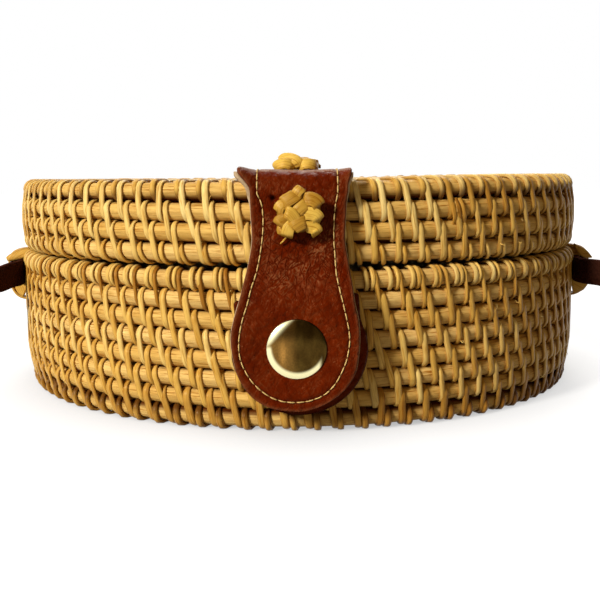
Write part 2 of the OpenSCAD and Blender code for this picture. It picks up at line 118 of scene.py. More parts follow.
# Bend between the first two runs, and the strap's whole route, in millimetres
STORED_BEND = [(69, 120), (76, 124), (80, 130), (81, 137), (80, 144), (76, 150), (69, 154)]
STRAP_ROUTE = [
    (-97, -32, 38), (-98, -38, 38), (-101, -44, 37), (-106, -48, 37), (-112, -50, 36),
    (-118, -50, 36), (-124, -48, 35), (-129, -44, 35), (-132, -38, 34), (-133, -32, 34),
    (-134, -16, 32), (-134, 2, 31), (-134, 20, 29), (-133, 38, 28), (-132, 56, 27),
    (-131, 72, 26), (-129, 88, 24), (-124, 103, 20), (-114, 114, 14), (-100, 118, 9), (-82, 119, 6),
    *stored_run(119, -64, 62), *((x, y, 4.5) for x, y in STORED_BEND),
    *stored_run(155, 62, -64), *((-x - 2, y + 36, 4.5) for x, y in STORED_BEND),
    *stored_run(191, -64, 26), (44, 190, 4.5), (62, 187, 4.5), (79, 181, 5),
    (94, 171, 7), (106, 158, 10), (115, 142, 13), (122, 125, 17), (127, 107, 21),
    (130, 89, 24), (131, 72, 26), (132, 56, 28), (133, 38, 29), (134, 20, 30),
    (134, 2, 31), (134, -16, 33), (133, -32, 34), (132, -38, 35), (129, -44, 35),
    (124, -48, 36), (118, -50, 36), (112, -50, 37), (106, -48, 37), (101, -44, 38),
    (98, -38, 38), (97, -32, 38)]


# Shapes

def smooth(x):
    x = np.clip(x, 0, 1)
    return x * x * (3 - 2 * x)


def unit(vectors):
    return vectors / np.linalg.norm(vectors, axis=-1, keepdims=True)


def run_length(points):
    """Length along a line up to each of its points."""
    length = np.cumsum(np.linalg.norm(np.diff(points, axis=-2), axis=-1), -1)
    return np.concatenate([0 * length[..., :1], length], -1)


def full_turn(points):
    return np.linspace(0, 2 * math.pi, points, endpoint=False)


def round_section(sides):
    turn = full_turn(sides)
    return np.stack([np.cos(turn), np.sin(turn)], 1)


def around(radius, angle, z):
    """Points by radius, angle round the case from the clasp, and height."""
    return np.stack(np.broadcast_arrays(radius * np.sin(angle), -radius * np.cos(angle), z), -1)


def spline(points, steps):
    """A smooth line through points."""
    p = np.asarray(points, float)
    p = np.vstack([2 * p[0] - p[1], p, 2 * p[-1] - p[-2]])
    t = np.linspace(0, 1, steps, endpoint=False)[:, None]
    parts = [0.5 * (2 * b + (c - a) * t + (2 * a - 5 * b + 4 * c - d) * t ** 2
                    + (3 * b - a - 3 * c + d) * t ** 3)
             for a, b, c, d in zip(p[:-3], p[1:-2], p[2:-1], p[3:])]
    return np.vstack(parts + [p[-2][None]])


def make_mesh(name, verts, faces, material=None, smooth_faces=True, **attributes):
    """A mesh object; attributes give a number or a vector for each vertex."""
    mesh = bpy.data.meshes.new(name)
    mesh.from_pydata(np.reshape(verts, (-1, 3)).tolist(), [], faces)
    for label, values in attributes.items():
        values = np.asarray(values, np.float32).ravel()
        vector = values.size == 3 * len(mesh.vertices)
        layer = mesh.attributes.new(label, "FLOAT_VECTOR" if vector else "FLOAT", "POINT")
        layer.data.foreach_set("vector" if vector else "value", values)
    if smooth_faces:
        mesh.polygons.foreach_set("use_smooth", [True] * len(mesh.polygons))
    mesh.update()
    if material is not None:
        mesh.materials.append(material)
    obj = bpy.data.objects.new(name, mesh)
    scene.collection.objects.link(obj)
    return obj


def grid_faces(rows, columns):
    """Faces of a closed skin of rows, each row a loop, with both ends shut."""
    index = np.arange(rows * columns).reshape(rows, columns)
    nxt = np.roll(index, -1, 1)
    quads = np.stack([index[:-1], index[1:], nxt[1:], nxt[:-1]], -1).reshape(-1, 4)
    return quads.tolist() + [index[0].tolist(), index[-1, ::-1].tolist()]


def dress(obj, body, slot, *nodes):
    """Puts a piece on its body and hides the nodes that it stands for; its material slot is not
    used.
    """
    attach(obj, body)
    if nodes:
        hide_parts(*nodes)


# Sections in shares of width and thickness: a split strand, flat inside and rounded outside,
# with painted shade on its edges; a flat ribbon of cane; a leather strap with softened edges
STRAND_SECTION = np.array([(-0.4, -0.5), (0.4, -0.5), (0.5, -0.15), (0.45, 0.14), (0.3, 0.38),
                           (0.1, 0.5), (-0.1, 0.5), (-0.3, 0.38), (-0.45, 0.14), (-0.5, -0.15)])
STRAND_EDGE_SHADE = 0.34 * (np.abs(STRAND_SECTION[:, 0]) > 0.42)
RIBBON_SECTION = np.array([(-0.48, -0.5), (0.48, -0.5), (0.5, 0.15), (0.43, 0.4), (0.0, 0.5),
                           (-0.43, 0.4), (-0.5, 0.15)])
STRAP_SECTION = np.array([(-0.5, -0.22), (-0.47, -0.5), (0.47, -0.5), (0.5, -0.22), (0.5, 0.22),
                          (0.47, 0.5), (0.3, 0.46), (0.0, 0.5), (-0.3, 0.46), (-0.47, 0.5),
                          (-0.5, 0.22)])
STRAP_EDGE = (np.abs(STRAP_SECTION[:, 0]) > 0.48).astype(float)


class Sweeps:
    """Gathers many swept tubes into one mesh, with their grain, tone and deep: painted shade in
    hollows, and on the strap its paler edges.
    """

    def __init__(self):
        self.verts, self.faces, self.grain, self.tone, self.deep = [], [], [], [], []
        self.count = 0

    def add(self, centre, side, out, section, width, height, tone, deep=0.0, closed=False):
        """centre, side and out are (tubes, points, 3); width and height scale the section."""
        shape = (*centre.shape[:2], len(section))
        across = section[:, 0] * width[..., None]
        up = section[:, 1] * height[..., None]
        verts = (centre[:, :, None] + side[:, :, None] * across[..., None]
                 + out[:, :, None] * up[..., None])
        ident = rng.uniform(0, 50, shape[0])
        grain = np.broadcast_arrays(run_length(centre)[:, :, None] * 1000,
                                    run_length(section) * width[..., None] * 1000,
                                    ident[:, None, None])
        index = self.count + np.arange(math.prod(shape)).reshape(shape)
        nxt = np.roll(index, -1, 2)
        quads = np.stack([index, nxt, np.roll(nxt, -1, 1), np.roll(index, -1, 1)], -1)
        if not closed:
            quads = quads[:, :-1]
            self.faces += index[:, 0, ::-1].tolist() + index[:, -1].tolist()
        self.faces += quads.reshape(-1, 4).tolist()
        self.verts.append(verts.reshape(-1, 3))
        self.grain.append(np.stack(grain, -1).reshape(-1, 3))
        self.tone.append(np.repeat(tone, shape[1] * shape[2]))
        self.deep.append(np.broadcast_to(deep, shape).ravel())
        self.count += index.size

    def strand(self, points, out, width, height, tone, section=STRAND_SECTION, deep=0.0):
        """One strand along points; out is its outward side, one for all or one a point."""
        points = np.asarray(points, float)
        along = unit(np.gradient(points, axis=0))
        out = np.broadcast_to(np.asarray(out, float), points.shape)
        out = unit(out - along * np.sum(out * along, axis=1, keepdims=True))
        width, height = (np.broadcast_to(v, (1, len(points))) for v in (width, height))
        self.add(points[None], np.cross(along, out)[None], out[None], section, width, height,
                 np.array([tone]), deep)

    def hoop(self, centre, turn, section, size, tone, deep):
        """A closed ring round the case's axis."""
        size = np.broadcast_to(size, (1, len(turn)))
        up = np.broadcast_to([0.0, 0.0, 1.0], (1, len(turn), 3))
        self.add(centre[None], around(1, turn, 0)[None], up, section, size, size,
                 np.array([tone]), deep, closed=True)

    def build(self, name, material=None, shape=None):
        verts = np.concatenate(self.verts)
        return make_mesh(name, verts if shape is None else shape(verts), self.faces, material,
                         grain=np.concatenate(self.grain), tone=np.concatenate(self.tone),
                         deep=np.concatenate(self.deep))


# Camera and shoulder strap come first

def make_camera():
    data = bpy.data.cameras.new("camera")
    data.lens, data.sensor_width = CAMERA_LENS, CAMERA_SENSOR
    data.clip_start, data.clip_end = 0.01, 20
    obj = bpy.data.objects.new("camera", data)
    scene.collection.objects.link(obj)
    obj.matrix_world = (Matrix.Translation(CAMERA_PLACE)
                        @ Matrix.Rotation(math.radians(-CAMERA_YAW), 4, "Z")
                        @ Matrix.Rotation(math.radians(90 - CAMERA_PITCH), 4, "X")
                        @ Matrix.Rotation(math.radians(CAMERA_ROLL), 4, "Z"))
    scene.camera = obj


def strap_sweep(points):
    """The strap's flat band, on its edge, along points."""
    sweeps = Sweeps()
    along = np.gradient(points, axis=0)
    out = np.stack([along[:, 1], -along[:, 0], 0 * along[:, 0]], 1)
    sweeps.strand(points, out, STRAP_W, STRAP_T, 0.5, STRAP_SECTION, STRAP_EDGE)
    return sweeps


make_camera()
strap_exits = [around(STRAP_IN_R + STRAP_T / 2, side * EXIT_ANGLE, STRAP_Z) for side in (-1, 1)]
strap_path = spline([strap_exits[0], *(np.array(STRAP_ROUTE) / 1000), strap_exits[1]], 5)
strap = strap_sweep(strap_path).build("shoulder_strap")
dress(strap, "base", "strap_leather",
      "shoulder_strap_left", "shoulder_strap_hank", "shoulder_strap_right")


# Materials

BLACK, WHITE = (0, 0, 0), (1, 1, 1)


class Nodes:
    """Adds shader nodes; an input takes a number, a colour or another node's output."""

    def __init__(self, owner):
        owner.use_nodes = True
        self.tree = owner.node_tree

    def feed(self, socket, value):
        if isinstance(value, bpy.types.NodeSocket):
            self.tree.links.new(value, socket)
        else:
            socket.default_value = (*value, 1) if socket.type == "RGBA" else value

    def add(self, kind, inputs, **settings):
        node = self.tree.nodes.new("ShaderNode" + kind)
        for key, value in settings.items():
            setattr(node, key, value)
        for key, value in inputs.items():
            self.feed(node.inputs[key], value)
        return node

    def maths(self, operation, first, second=0.0):
        return self.add("Math", {0: first, 1: second}, operation=operation).outputs[0]

    def times(self, first, second):
        return self.maths("MULTIPLY", first, second)

    def vector(self, operation, first, second):
        return self.add("VectorMath", {0: first, 1: second}, operation=operation).outputs[0]

    def noise(self, source, detail, rough=0.55, scale=None):
        if scale is not None:
            source = self.vector("MULTIPLY", source, scale)
        inputs = {"Vector": source, "Scale": 1.0, "Detail": detail, "Roughness": rough}
        return self.add("TexNoise", inputs).outputs["Fac"]

    def ramp(self, source, *stops, mode="LINEAR"):
        node = self.add("ValToRGB", {0: source})
        elements = node.color_ramp.elements
        node.color_ramp.interpolation = mode
        while len(elements) < len(stops):
            elements.new(0.5)
        for element, (place, colour) in zip(elements, stops):
            element.position = place
            element.color = (*colour, 1)
        return node.outputs["Color"]

    def mix(self, mode, factor, first, second):
        """Two colours mixed: sockets 6 and 7 take them, and output 2 is the colour."""
        return self.add("Mix", {0: factor, 6: first, 7: second},
                        data_type="RGBA", blend_type=mode).outputs[2]

    def shown_rays(self):
        """The kinds of ray, and 1 for those that see the white room."""
        rays = self.add("LightPath", {}).outputs
        mirrored = self.maths("MAXIMUM", rays["Is Glossy Ray"], rays["Is Transmission Ray"])
        return rays, self.maths("MAXIMUM", rays["Is Camera Ray"], mirrored)


class Look(Nodes):
    """A material on the principled shader."""

    def __init__(self, name):
        self.material = bpy.data.materials.new(name)
        super().__init__(self.material)
        self.shader = self.tree.nodes["Principled BSDF"]

    def attribute(self, name, output="Fac"):
        return self.add("Attribute", {}, attribute_name=name).outputs[output]

    def finish(self, colour, height, strength, distance, **inputs):
        """Connects colour and relief; the shader's other inputs have _ for a space."""
        relief = self.add("Bump", {"Strength": strength, "Distance": distance, "Height": height})
        self.feed(self.shader.inputs["Base Color"], colour)
        self.feed(self.shader.inputs["Normal"], relief.outputs[0])
        for key, value in inputs.items():
            self.feed(self.shader.inputs[key.replace("_", " ")], value)
        return self.material


# Colour of the painted shade in the weave's crevices
PAINTED_CREVICE_SHADE = (0.115, 0.034, 0.004)


def rattan(name, stops, fibre_dark, roughness, gloss, fibre_scale):
    """Cane: a tone for each strand, fine fibres along it, blotches, painted shade where deep is
    high, and a light polish.
    """
    look = Look(name)
    grain = look.attribute("grain", "Vector")
    fibre = look.noise(grain, 4.0, 0.65, (0.14, fibre_scale, 1.7))
    blotch = look.noise(grain, 2.0, scale=(0.16, 0.3, 0.9))
    fibres = look.ramp(fibre, (0.34, fibre_dark), (0.49, WHITE), (0.57, WHITE),
                       (0.7, (1.14, 1.18, 1.3)))
    patches = look.ramp(blotch, (0.3, (0.8, 0.73, 0.6)), (0.58, WHITE))
    colour = look.mix("MULTIPLY", 1.0, look.ramp(look.attribute("tone"), *stops), fibres)
    colour = look.mix("MULTIPLY", 0.85, colour, patches)
    colour = look.mix("MULTIPLY", look.attribute("deep"), colour, PAINTED_CREVICE_SHADE)
    return look.finish(colour, fibre, 0.5, 0.0003, Roughness=roughness, Specular_IOR_Level=gloss,
                       Specular_Tint=(1.0, 0.82, 0.5))


ROD_TONES = [(0.0, (0.5, 0.25, 0.045)), (0.5, (0.74, 0.445, 0.105)), (1.0, (0.87, 0.6, 0.215))]
STRAND_TONES = [(0.0, (0.24, 0.085, 0.01)), (0.28, (0.5, 0.235, 0.03)), (0.55, (0.8, 0.485, 0.1)),
                (0.8, (0.91, 0.65, 0.215)), (1.0, (0.93, 0.75, 0.36))]
KNOT_TONES = [(0.0, (0.22, 0.085, 0.006)), (0.28, (0.46, 0.225, 0.02)), (0.55, (0.8, 0.5, 0.075)),
              (1.0, (0.93, 0.72, 0.26))]
ROD_CANE = rattan("rod_cane", ROD_TONES, (0.48, 0.28, 0.08), 0.42, 0.06, 2.6)
STRAND_CANE = rattan("strand_cane", STRAND_TONES, (0.68, 0.5, 0.24), 0.28, 0.13, 2.4)
KNOT_CANE = rattan("knot_cane", KNOT_TONES, (0.6, 0.42, 0.16), 0.23, 0.24, 3.6)


def leather(name, dark, light, worn, edge_and_shade_tint, pebble, roughness, gloss, sheen):
    """Leather: pebbled grain with painted shade between pebbles, folds with a pale crest of painted
    highlight beside each furrow of painted shade, other edges, and worn, a paler colour also used
    for those painted highlights.
    """
    look = Look(name)
    grain, crack = look.attribute("grain", "Vector"), look.attribute("crack")

    def wrinkles(angle, long, wide, seed):
        turned = look.add("VectorRotate", {"Vector": grain, "Angle": math.radians(angle)},
                          rotation_type="Z_AXIS").outputs[0]
        moved = look.vector("ADD", look.vector("MULTIPLY", turned, (long, wide, 1)),
                            (seed, seed * 3, 0))
        return look.maths("ABSOLUTE", look.maths("SUBTRACT", look.noise(moved, 2.5, 0.6), 0.5))

    fine = look.noise(grain, 4.0, 0.7, (1.7, 1.7, 1.7))
    broad = look.noise(grain, 3.0, scale=(0.11, 0.11, 0.11))
    bent = look.vector("ADD", grain, look.noise(grain, 2.0, scale=(0.8, 0.8, 0.8)))
    cell = look.add("TexVoronoi", {"Vector": bent, "Scale": pebble}).outputs["Distance"]
    pebbles = look.ramp(cell, (0.1, WHITE), (0.75, BLACK), mode="EASE")
    folds = look.maths("MINIMUM", wrinkles(38, 0.1, 0.42, 3.1), wrinkles(-52, 0.11, 0.36, 9.4))
    folds = look.maths("MINIMUM", folds, wrinkles(75, 0.07, 0.3, 5.7))
    # furrow darkens the folds' hollows as painted shade, and crest is a painted highlight beside
    # each
    furrow = look.ramp(folds, (0.0, BLACK), (0.02, WHITE))
    crest = look.ramp(folds, (0.018, BLACK), (0.034, WHITE), (0.06, BLACK))
    base = look.ramp(broad, (0.32, dark), (0.68, light))
    # Mottle, painted shade between the pebbles, and painted shade in the furrows where creased
    for factor, shade in (
            (0.22, look.ramp(fine, (0.35, (0.6, 0.55, 0.5)), (0.6, WHITE))),
            (0.2, look.ramp(pebbles, (0.0, (0.55, 0.5, 0.45)), (0.5, WHITE))),
            (look.times(crack, 0.55), look.ramp(furrow, (0.0, (0.5, 0.4, 0.35)), (1.0, WHITE)))):
        base = look.mix("MULTIPLY", factor, base, shade)
    # lit: a painted highlight on the folds' crests
    lit = look.times(look.times(crest, crack), look.ramp(broad, (0.42, BLACK), (0.62, WHITE)))
    base = look.mix("MIX", look.times(lit, 0.75), base, worn)
    # tone: on the clasp, a painted highlight on the top of the fold and paler edges
    base = look.mix("MIX", look.attribute("tone"), base, worn)
    # deep: painted shade along the clasp's seam and in its hole, a darker left edge on the clasp,
    # darker edges on the catch tab, and paler narrow edges on the strap
    base = look.mix("MULTIPLY", look.attribute("deep"), base, edge_and_shade_tint)
    relief = look.maths("ADD", look.times(pebbles, 0.8), look.times(fine, 0.05))
    relief = look.maths("ADD", look.times(furrow, look.times(crack, 0.5)), relief)
    return look.finish(base, relief, 0.85, 0.0004, Roughness=roughness, Specular_IOR_Level=gloss,
                       Specular_Tint=sheen)


def plain(name, low, high, roughness, scale):
    """A colour with a soft mottle and a little relief, darkened with painted shade where deep is
    high.
    """
    look = Look(name)
    place = look.add("TexCoord", {}).outputs["Object"]
    fine = look.noise(place, 4.0, 0.65, (scale, scale, scale))
    colour = look.mix("MULTIPLY", look.attribute("deep"), look.ramp(fine, (0.3, low), (0.7, high)),
                      (0.07, 0.045, 0.02))
    return look.finish(colour, fine, 0.3, 0.0001, Roughness=roughness)


def brass():
    """Gold-coloured metal: its own bright colour where tone is high, elsewhere a dark painted
    reflection, lightened towards a warm painted highlight where deep is high.
    """
    look = Look("gold_metal")
    grain = look.attribute("grain", "Vector")
    speck = look.noise(grain, 5.0, 0.75, (2.6, 2.6, 2.6))
    cloud = look.noise(grain, 2.0, scale=(0.35, 0.35, 0.2))
    dark_reflection = look.ramp(cloud, (0.35, (0.045, 0.024, 0.005)), (0.65, (0.085, 0.05, 0.011)))
    dark_reflection = look.mix("MIX", look.attribute("deep"), dark_reflection, (0.46, 0.235, 0.055))
    dark_reflection = look.mix("MULTIPLY", 0.7, dark_reflection, look.ramp(speck, (0.35, (0.6, 0.6, 0.55)),
                                                     (0.65, (1.3, 1.25, 1.15))))
    colour = look.mix("MIX", look.attribute("tone"), dark_reflection, (0.95, 0.88, 0.5))
    return look.finish(colour, speck, 0.1, 0.00003, Roughness=0.22, Metallic=1.0)


CLASP_LEATHER = leather("clasp_leather", (0.106, 0.0077, 0.0002), (0.15, 0.0138, 0.0004),
                        (0.26, 0.1, 0.036), (0.25, 0.2, 0.2), 0.45, 0.33, 0.075, (1.0, 0.58, 0.22))
STRAP_LEATHER = leather("strap_leather", (0.018, 0.0012, 0.0002), (0.032, 0.0025, 0.0004),
                        (0.05, 0.02, 0.012), (2.2, 1.8, 1.8), 0.8, 0.6, 0.006, (1.0, 0.4, 0.2))
SUEDE = plain("suede", (0.5, 0.32, 0.16), (0.74, 0.55, 0.33), 0.95, 1800)
THREAD = plain("thread", (0.58, 0.35, 0.09), (0.8, 0.56, 0.2), 0.7, 3500)
COTTON = plain("cotton", (0.74, 0.68, 0.55), (0.84, 0.79, 0.67), 0.9, 2600)
GOLD_METAL = brass()
strap.data.materials.append(STRAP_LEATHER)


# Woven case

# Tones of the strands, from 0 for dark brown to 1 for pale
PALE = [0.72, 0.8, 0.88, 0.95]
GOLD = [0.5, 0.6, 0.66, 0.74]
BROWN = [0.2, 0.3, 0.38, 0.44]
MIXED = PALE + GOLD + GOLD + [0.36]
WORN = PALE[:3] + GOLD + GOLD + [0.44, 0.36]
# Angles on a rod, from its outward side, where a strand ends under it, and how far it turns in
# past the side of a gap
FULL_ROUND, ROUND_UNDER, TURN_IN = math.radians(255), math.radians(112), math.radians(22)


def end_share(i):
    """How far the rod i rows from an edge is drawn in, as a share of that edge's inset."""
    return (1, SECOND_ROD_SHARE)[i] if i < 2 else 0


def base_rod(i):
    """Radius and height of the base's rod i, from the foot up."""
    return (COIL_R - BASE_CORNER_INSET * end_share(i),
            BASE_RIM_Z - (BASE_ROWS - 1 - i) * ROW_STEP + RIM_NEAR * (i == BASE_ROWS - 1))


def lid_rod(i):
    """Radius and height of the lid's rod i, from its rim up."""
    inset = LID_RIM_INSET * end_share(i) + LID_CORNER_INSET * end_share(LID_ROWS - 1 - i)
    return COIL_R + LID_FULL - inset, LID_RIM_Z + i * ROW_STEP - RIM_NEAR * (i == 0)


def face_rods(corner_r, z):
    """Rods of a flat face from the middle out, without the corner rod."""
    steps = round((corner_r - FACE_START_R) / ROW_STEP)
    return [(FACE_START_R + k * (corner_r - FACE_START_R) / steps, z) for k in range(steps)]


def outward_of(rods, j):
    """The outward side of rod j, in radius and height, from its neighbours in the row."""
    d = rods[min(j + 1, len(rods) - 1)] - rods[max(j - 1, 0)]
    return unit(np.array([-d[1], d[0]]))


def ring(sweeps, rod, tone, outward, wobble=0.00008):
    """A rod bent into a ring, a little uneven as cane is, with painted shade on its hidden side."""
    turn = full_turn(max(24, int(rod[0] * 2400)))

    def sway():
        return wobble * sum(rng.uniform(-1, 1) * np.sin(k * turn + rng.uniform(0, 6.28)) / k
                            for k in range(2, 9))

    radius = rod[0] + sway()
    centre = around(radius, turn, rod[1] + sway())
    size = ROD_R * (1 + 0.012 * np.sin(5 * turn + rng.uniform(0, 6)))
    section = round_section(20)
    facing = section @ outward
    deep = smooth((0.62 - facing) / 0.75) * (1 - 0.7 * smooth((-facing - 0.5) / 0.4))
    sweeps.hoop(centre, turn, section, size, tone, deep)


def binding(sweeps, first, second, outward):
    """The hidden turns between two rods, which close the gap behind the stitches, painted fully
    dark as shade.
    """
    radius, z = (first + second) / 2 - BINDING_IN * outward
    turn = full_turn(180)
    sweeps.hoop(around(radius, turn, z), turn, round_section(6), BINDING_R, 0.2, 1.0)


def dive(rods, j, step):
    """Angle from a rod's outward side to the gap next to it, before (-1) or after (+1)."""
    if not 0 <= j + step < len(rods):
        return FULL_ROUND
    along, toward = unit(rods[j] - rods[j - step]), unit(rods[j + step] - rods[j])
    return math.pi / 2 + math.acos(np.clip(along @ toward, -1, 1)) + TURN_IN


def stitch_path(rods, first, second, start, finish, points):
    """Path over two neighbouring rods, in radius and height, with its outward sides."""
    if first != second:
        ahead = unit(rods[second] - rods[first])
    else:
        ahead = unit(rods[first] - rods[first - 1]) if first else unit(rods[1] - rods[0])
    straight_out = np.array([-ahead[1], ahead[0]])
    reach, span = ROD_R + STRAND_T / 2, np.linalg.norm(rods[second] - rods[first])
    at = np.linspace(0, reach * (start + finish) + span, points)[:, None] - reach * start
    turn = np.where(at < 0, at, np.maximum(at - span, 0)) / reach
    out = np.cos(turn) * straight_out + np.sin(turn) * ahead
    return rods[first] + reach * out + np.clip(at, 0, span) * ahead, out, straight_out


def tone_runs(count, palette):
    """Strand tones in long runs, because one split strand makes many stitches."""
    tones = []
    while len(tones) < count:
        run = int(rng.integers(*RUN_STITCHES))
        tones += [float(rng.choice(palette))] * run
    return np.clip(np.array(tones[:count]) + rng.normal(0, TONE_SPREAD, count), 0, 1)


def stitches(sweeps, rods, first, second, count, phase, slant, palette, width=STRAND_W,
             start=None, finish=None, points=20, lift=0.0, hooked=0.0003, thick=STRAND_T,
             shade=0.0):
    """A round of strands over two rods: slant and hook lean them, and shade is painted shade that
    darkens them towards the bag's right.
    """
    start = dive(rods, first, -1) if start is None else start
    finish = dive(rods, second, 1) if finish is None else finish
    place, out, straight_out = stitch_path(rods, first, second, start, finish, points)
    share = np.linspace(0, 1, points)
    arch = np.sin(math.pi * share)
    radius = place[:, 0].max()

    def uneven(spread):
        return rng.normal(0, spread, count)[:, None]

    angle = phase + full_turn(count)[:, None] + uneven(PLACE_SPREAD) / radius
    tilt = slant * (1 + uneven(LEAN_SPREAD))
    hook = hooked * (1 + uneven(HOOK_SPREAD))
    offset = tilt * (share - 0.4) + hook * (1 - share) ** 3.2 + uneven(BOW_SPREAD) * arch
    turn = angle + offset / radius
    bulge = (lift + np.abs(uneven(LIFT_SPREAD))) * arch
    centre = around(place[:, 0] + bulge * out[:, 0], turn, place[:, 1] + bulge * out[:, 1])
    normal = around(out[:, 0], turn, out[:, 1])
    side = unit(np.cross(np.gradient(centre, axis=1), normal))
    size = width * (1 + uneven(WIDTH_SPREAD))
    taper = 1 - 0.15 * (1 - share) ** 4 - 0.25 * share ** 4
    height = np.broadcast_to(thick * (1 - 0.5 * np.abs(2 * share - 1) ** 5), turn.shape)
    # Painted shade where the strand turns in under the rods, and on its edges
    deep = 0.85 * smooth((0.42 - out @ straight_out) / 0.9)
    tones = tone_runs(count, palette) * (1 - shade * np.clip(np.sin(angle[:, 0]), 0, 1))
    sweeps.add(centre, side, normal, STRAND_SECTION, size * taper, height, tones,
               np.maximum(deep[:, None], STRAND_EDGE_SHADE))


def base_rest(verts):
    """The base's lowest strands are worn flat where the bag rests."""
    return np.stack([verts[:, 0], verts[:, 1], np.maximum(verts[:, 2], -SAG)], 1)


def lid_settled(verts):
    """The lid has settled a little towards its hinge, and stands a little higher at its right."""
    back = np.clip((verts[:, 1] + WALL_R) / (2 * WALL_R), 0, 1)
    high = np.clip((verts[:, 2] - LID_RIM_Z) / (ROW_STEP * (LID_ROWS - 1)), 0, 1)
    right = smooth((verts[:, 0] - 0.012) / 0.05)
    return verts + np.stack([0 * back, 0 * back, high * (LID_LIFT * right - LID_SETTLE * back)], 1)


def weave(body, rods, parts, shape, nodes):
    """Rods and stitches of one half of the case; parts and nodes tell which node holds a rod."""
    rods = np.array(rods)
    strands = {part: Sweeps() for part in nodes}
    canes = {part: Sweeps() for part in nodes}
    is_base = body == "base"
    phase = 0.0
    for j, rod in enumerate(rods):
        ring(canes[parts[j]], rod, rng.uniform(0.45, 0.95), outward_of(rods, j))
    for j in range(len(rods) - 1):
        binding(canes[parts[j]], rods[j], rods[j + 1], outward_of(rods, j))
        radii = sorted((rods[j][0], rods[j + 1][0]))
        style = {"count": STITCHES, "slant": 0.0033, "palette": WORN if is_base else MIXED}
        if parts[j] == parts[j + 1] == "face" and radii[1] < FACE_SHARE * COIL_R:
            style.update(count=max(7, round(STITCHES * sum(radii) / 2 / COIL_R)), slant=0.0011,
                         points=12)
        elif is_base and j == 0:
            style.update(palette=BROWN, width=0.0013)
        elif is_base and j >= BASE_ROWS - 1:
            style.update(palette=BROWN[1:], lift=0.0005, thick=1.6 * STRAND_T, shade=0.75)
        elif is_base and j == BASE_ROWS - 2:
            style.update(palette=BROWN[2:] + GOLD[:1], width=1.15 * STRAND_W, shade=0.35)
        elif not is_base and j == len(rods) - LID_ROWS - 1:
            style.update(lift=0.0002, thick=1.3 * STRAND_T)
        stitches(strands[parts[j]], rods, j, j + 1, phase=phase / COIL_R, **style)
        phase += ROW_SHIFT * STITCH_PITCH
    if is_base:
        for shift, width, palette in ((-0.42, 0.0017, GOLD + PALE[:2]),
                                      (-0.15, 0.0014, BROWN[3:] + GOLD[:3])):
            stitches(strands["rim"], rods, 0, 0, STITCHES, shift * STITCH_PITCH / COIL_R, 0.0014,
                     palette, width, FULL_ROUND, ROUND_UNDER, lift=0.0003, hooked=0.0006)
    else:
        last = len(rods) - 1
        stitches(strands["rim"], rods, last, last, STITCHES, phase / COIL_R, 0.0052, GOLD, 0.0015,
                 ROUND_UNDER, FULL_ROUND, lift=0.0003, hooked=0.0)
    for part, node in nodes.items():
        dress(canes[part].build(f"{body}_{part}_rods", ROD_CANE, shape), body, "rattan_weave", node)
        dress(strands[part].build(f"{body}_{part}_strands", STRAND_CANE, shape), body,
              "rattan_strand")


def case():
    lid_wall = [lid_rod(i) for i in range(LID_ROWS - 1, -1, -1)]
    lid_face = face_rods(*lid_wall[0])
    weave("lid", lid_face + lid_wall,
          ["face"] * (len(lid_face) + 1) + ["wall"] * (LID_ROWS - 2) + ["rim"], lid_settled,
          {"face": "lid_front_coils", "wall": "lid_wall_coils", "rim": "lid_rim_coil"})
    base_wall = [base_rod(i) for i in range(BASE_ROWS - 1, -1, -1)]
    base_face = face_rods(*base_wall[-1])[::-1]
    weave("base", base_wall + base_face,
          ["rim"] + ["wall"] * (BASE_ROWS - 2) + ["face"] * (len(base_face) + 1), base_rest,
          {"rim": "base_rim_coil", "wall": "base_wall_coils", "face": "base_back_coils"})


case()


# Folded strap ends and the strands that hold them

def strap_end(side, name):
    """From where the strap enters its lashing, round the fold and back over itself."""
    inner, outer = STRAP_IN_R + STRAP_T / 2, STRAP_IN_R + 1.5 * STRAP_T + STRAP_GAP
    middle, turn_r = (inner + outer) / 2, (outer - inner) / 2
    bend = np.linspace(0, math.pi, 9)[1:-1]
    places = [(inner, np.linspace(EXIT_ANGLE, FOLD_ANGLE, 14)),
              (middle - turn_r * np.cos(bend), FOLD_ANGLE + turn_r * np.sin(bend) / middle),
              (outer, np.linspace(FOLD_ANGLE, TAIL_ANGLE, 12))]
    points = np.vstack([around(radius, side * angle, STRAP_Z) for radius, angle in places])
    obj = strap_sweep(points).build(f"strap_end_{name}_leather", STRAP_LEATHER)
    dress(obj, "base", "strap_leather", f"strap_end_{name}")


# The lashings' flat ends: widths and places in millimetres, x away from the bag's middle
LASH_ENDS = {
    "left": [
        ((3.2, 3.6, 3.3, 2.8, 2.3, 1.7), [(94.8, -24.8, 44.9), (97.2, -25.6, 44.3),
                                          (99.6, -26.1, 43.6), (101.6, -26.2, 42.9),
                                          (102.8, -26.1, 42.4)]),
        ((3.4, 3.6, 2.6), [(96.0, -23.0, 43.6), (99.0, -24.0, 42.4), (101.4, -24.2, 41.6)]),
        ((2.2, 4.6, 6.4), [(101.6, -24.0, 33.6), (99.8, -24.6, 32.4), (97.0, -24.8, 31.2)])],
    "right": [
        ((0.15, 1.3, 2.6, 3.0, 2.4, 0.5), [(97.4, -25.2, 46.5), (98.4, -25.6, 45.2),
                                           (99.8, -25.9, 43.9), (101.6, -26.0, 42.6),
                                           (103.6, -25.8, 41.6)]),
        ((4.0, 4.2, 2.6), [(95.0, -23.0, 43.6), (98.2, -23.9, 43.0), (101.0, -24.2, 42.0)]),
        ((1.6, 4.6, 6.2), [(103.2, -24.0, 33.2), (100.6, -24.8, 32.0), (97.2, -25.0, 31.2)])]}
# The three strands of a lashing: shift along the wall, lean and tone
LASH_STRANDS = ((-0.0017, 0.0006, 0.42), (0.0, -0.0004, 0.58), (0.0018, 0.0008, 0.5))


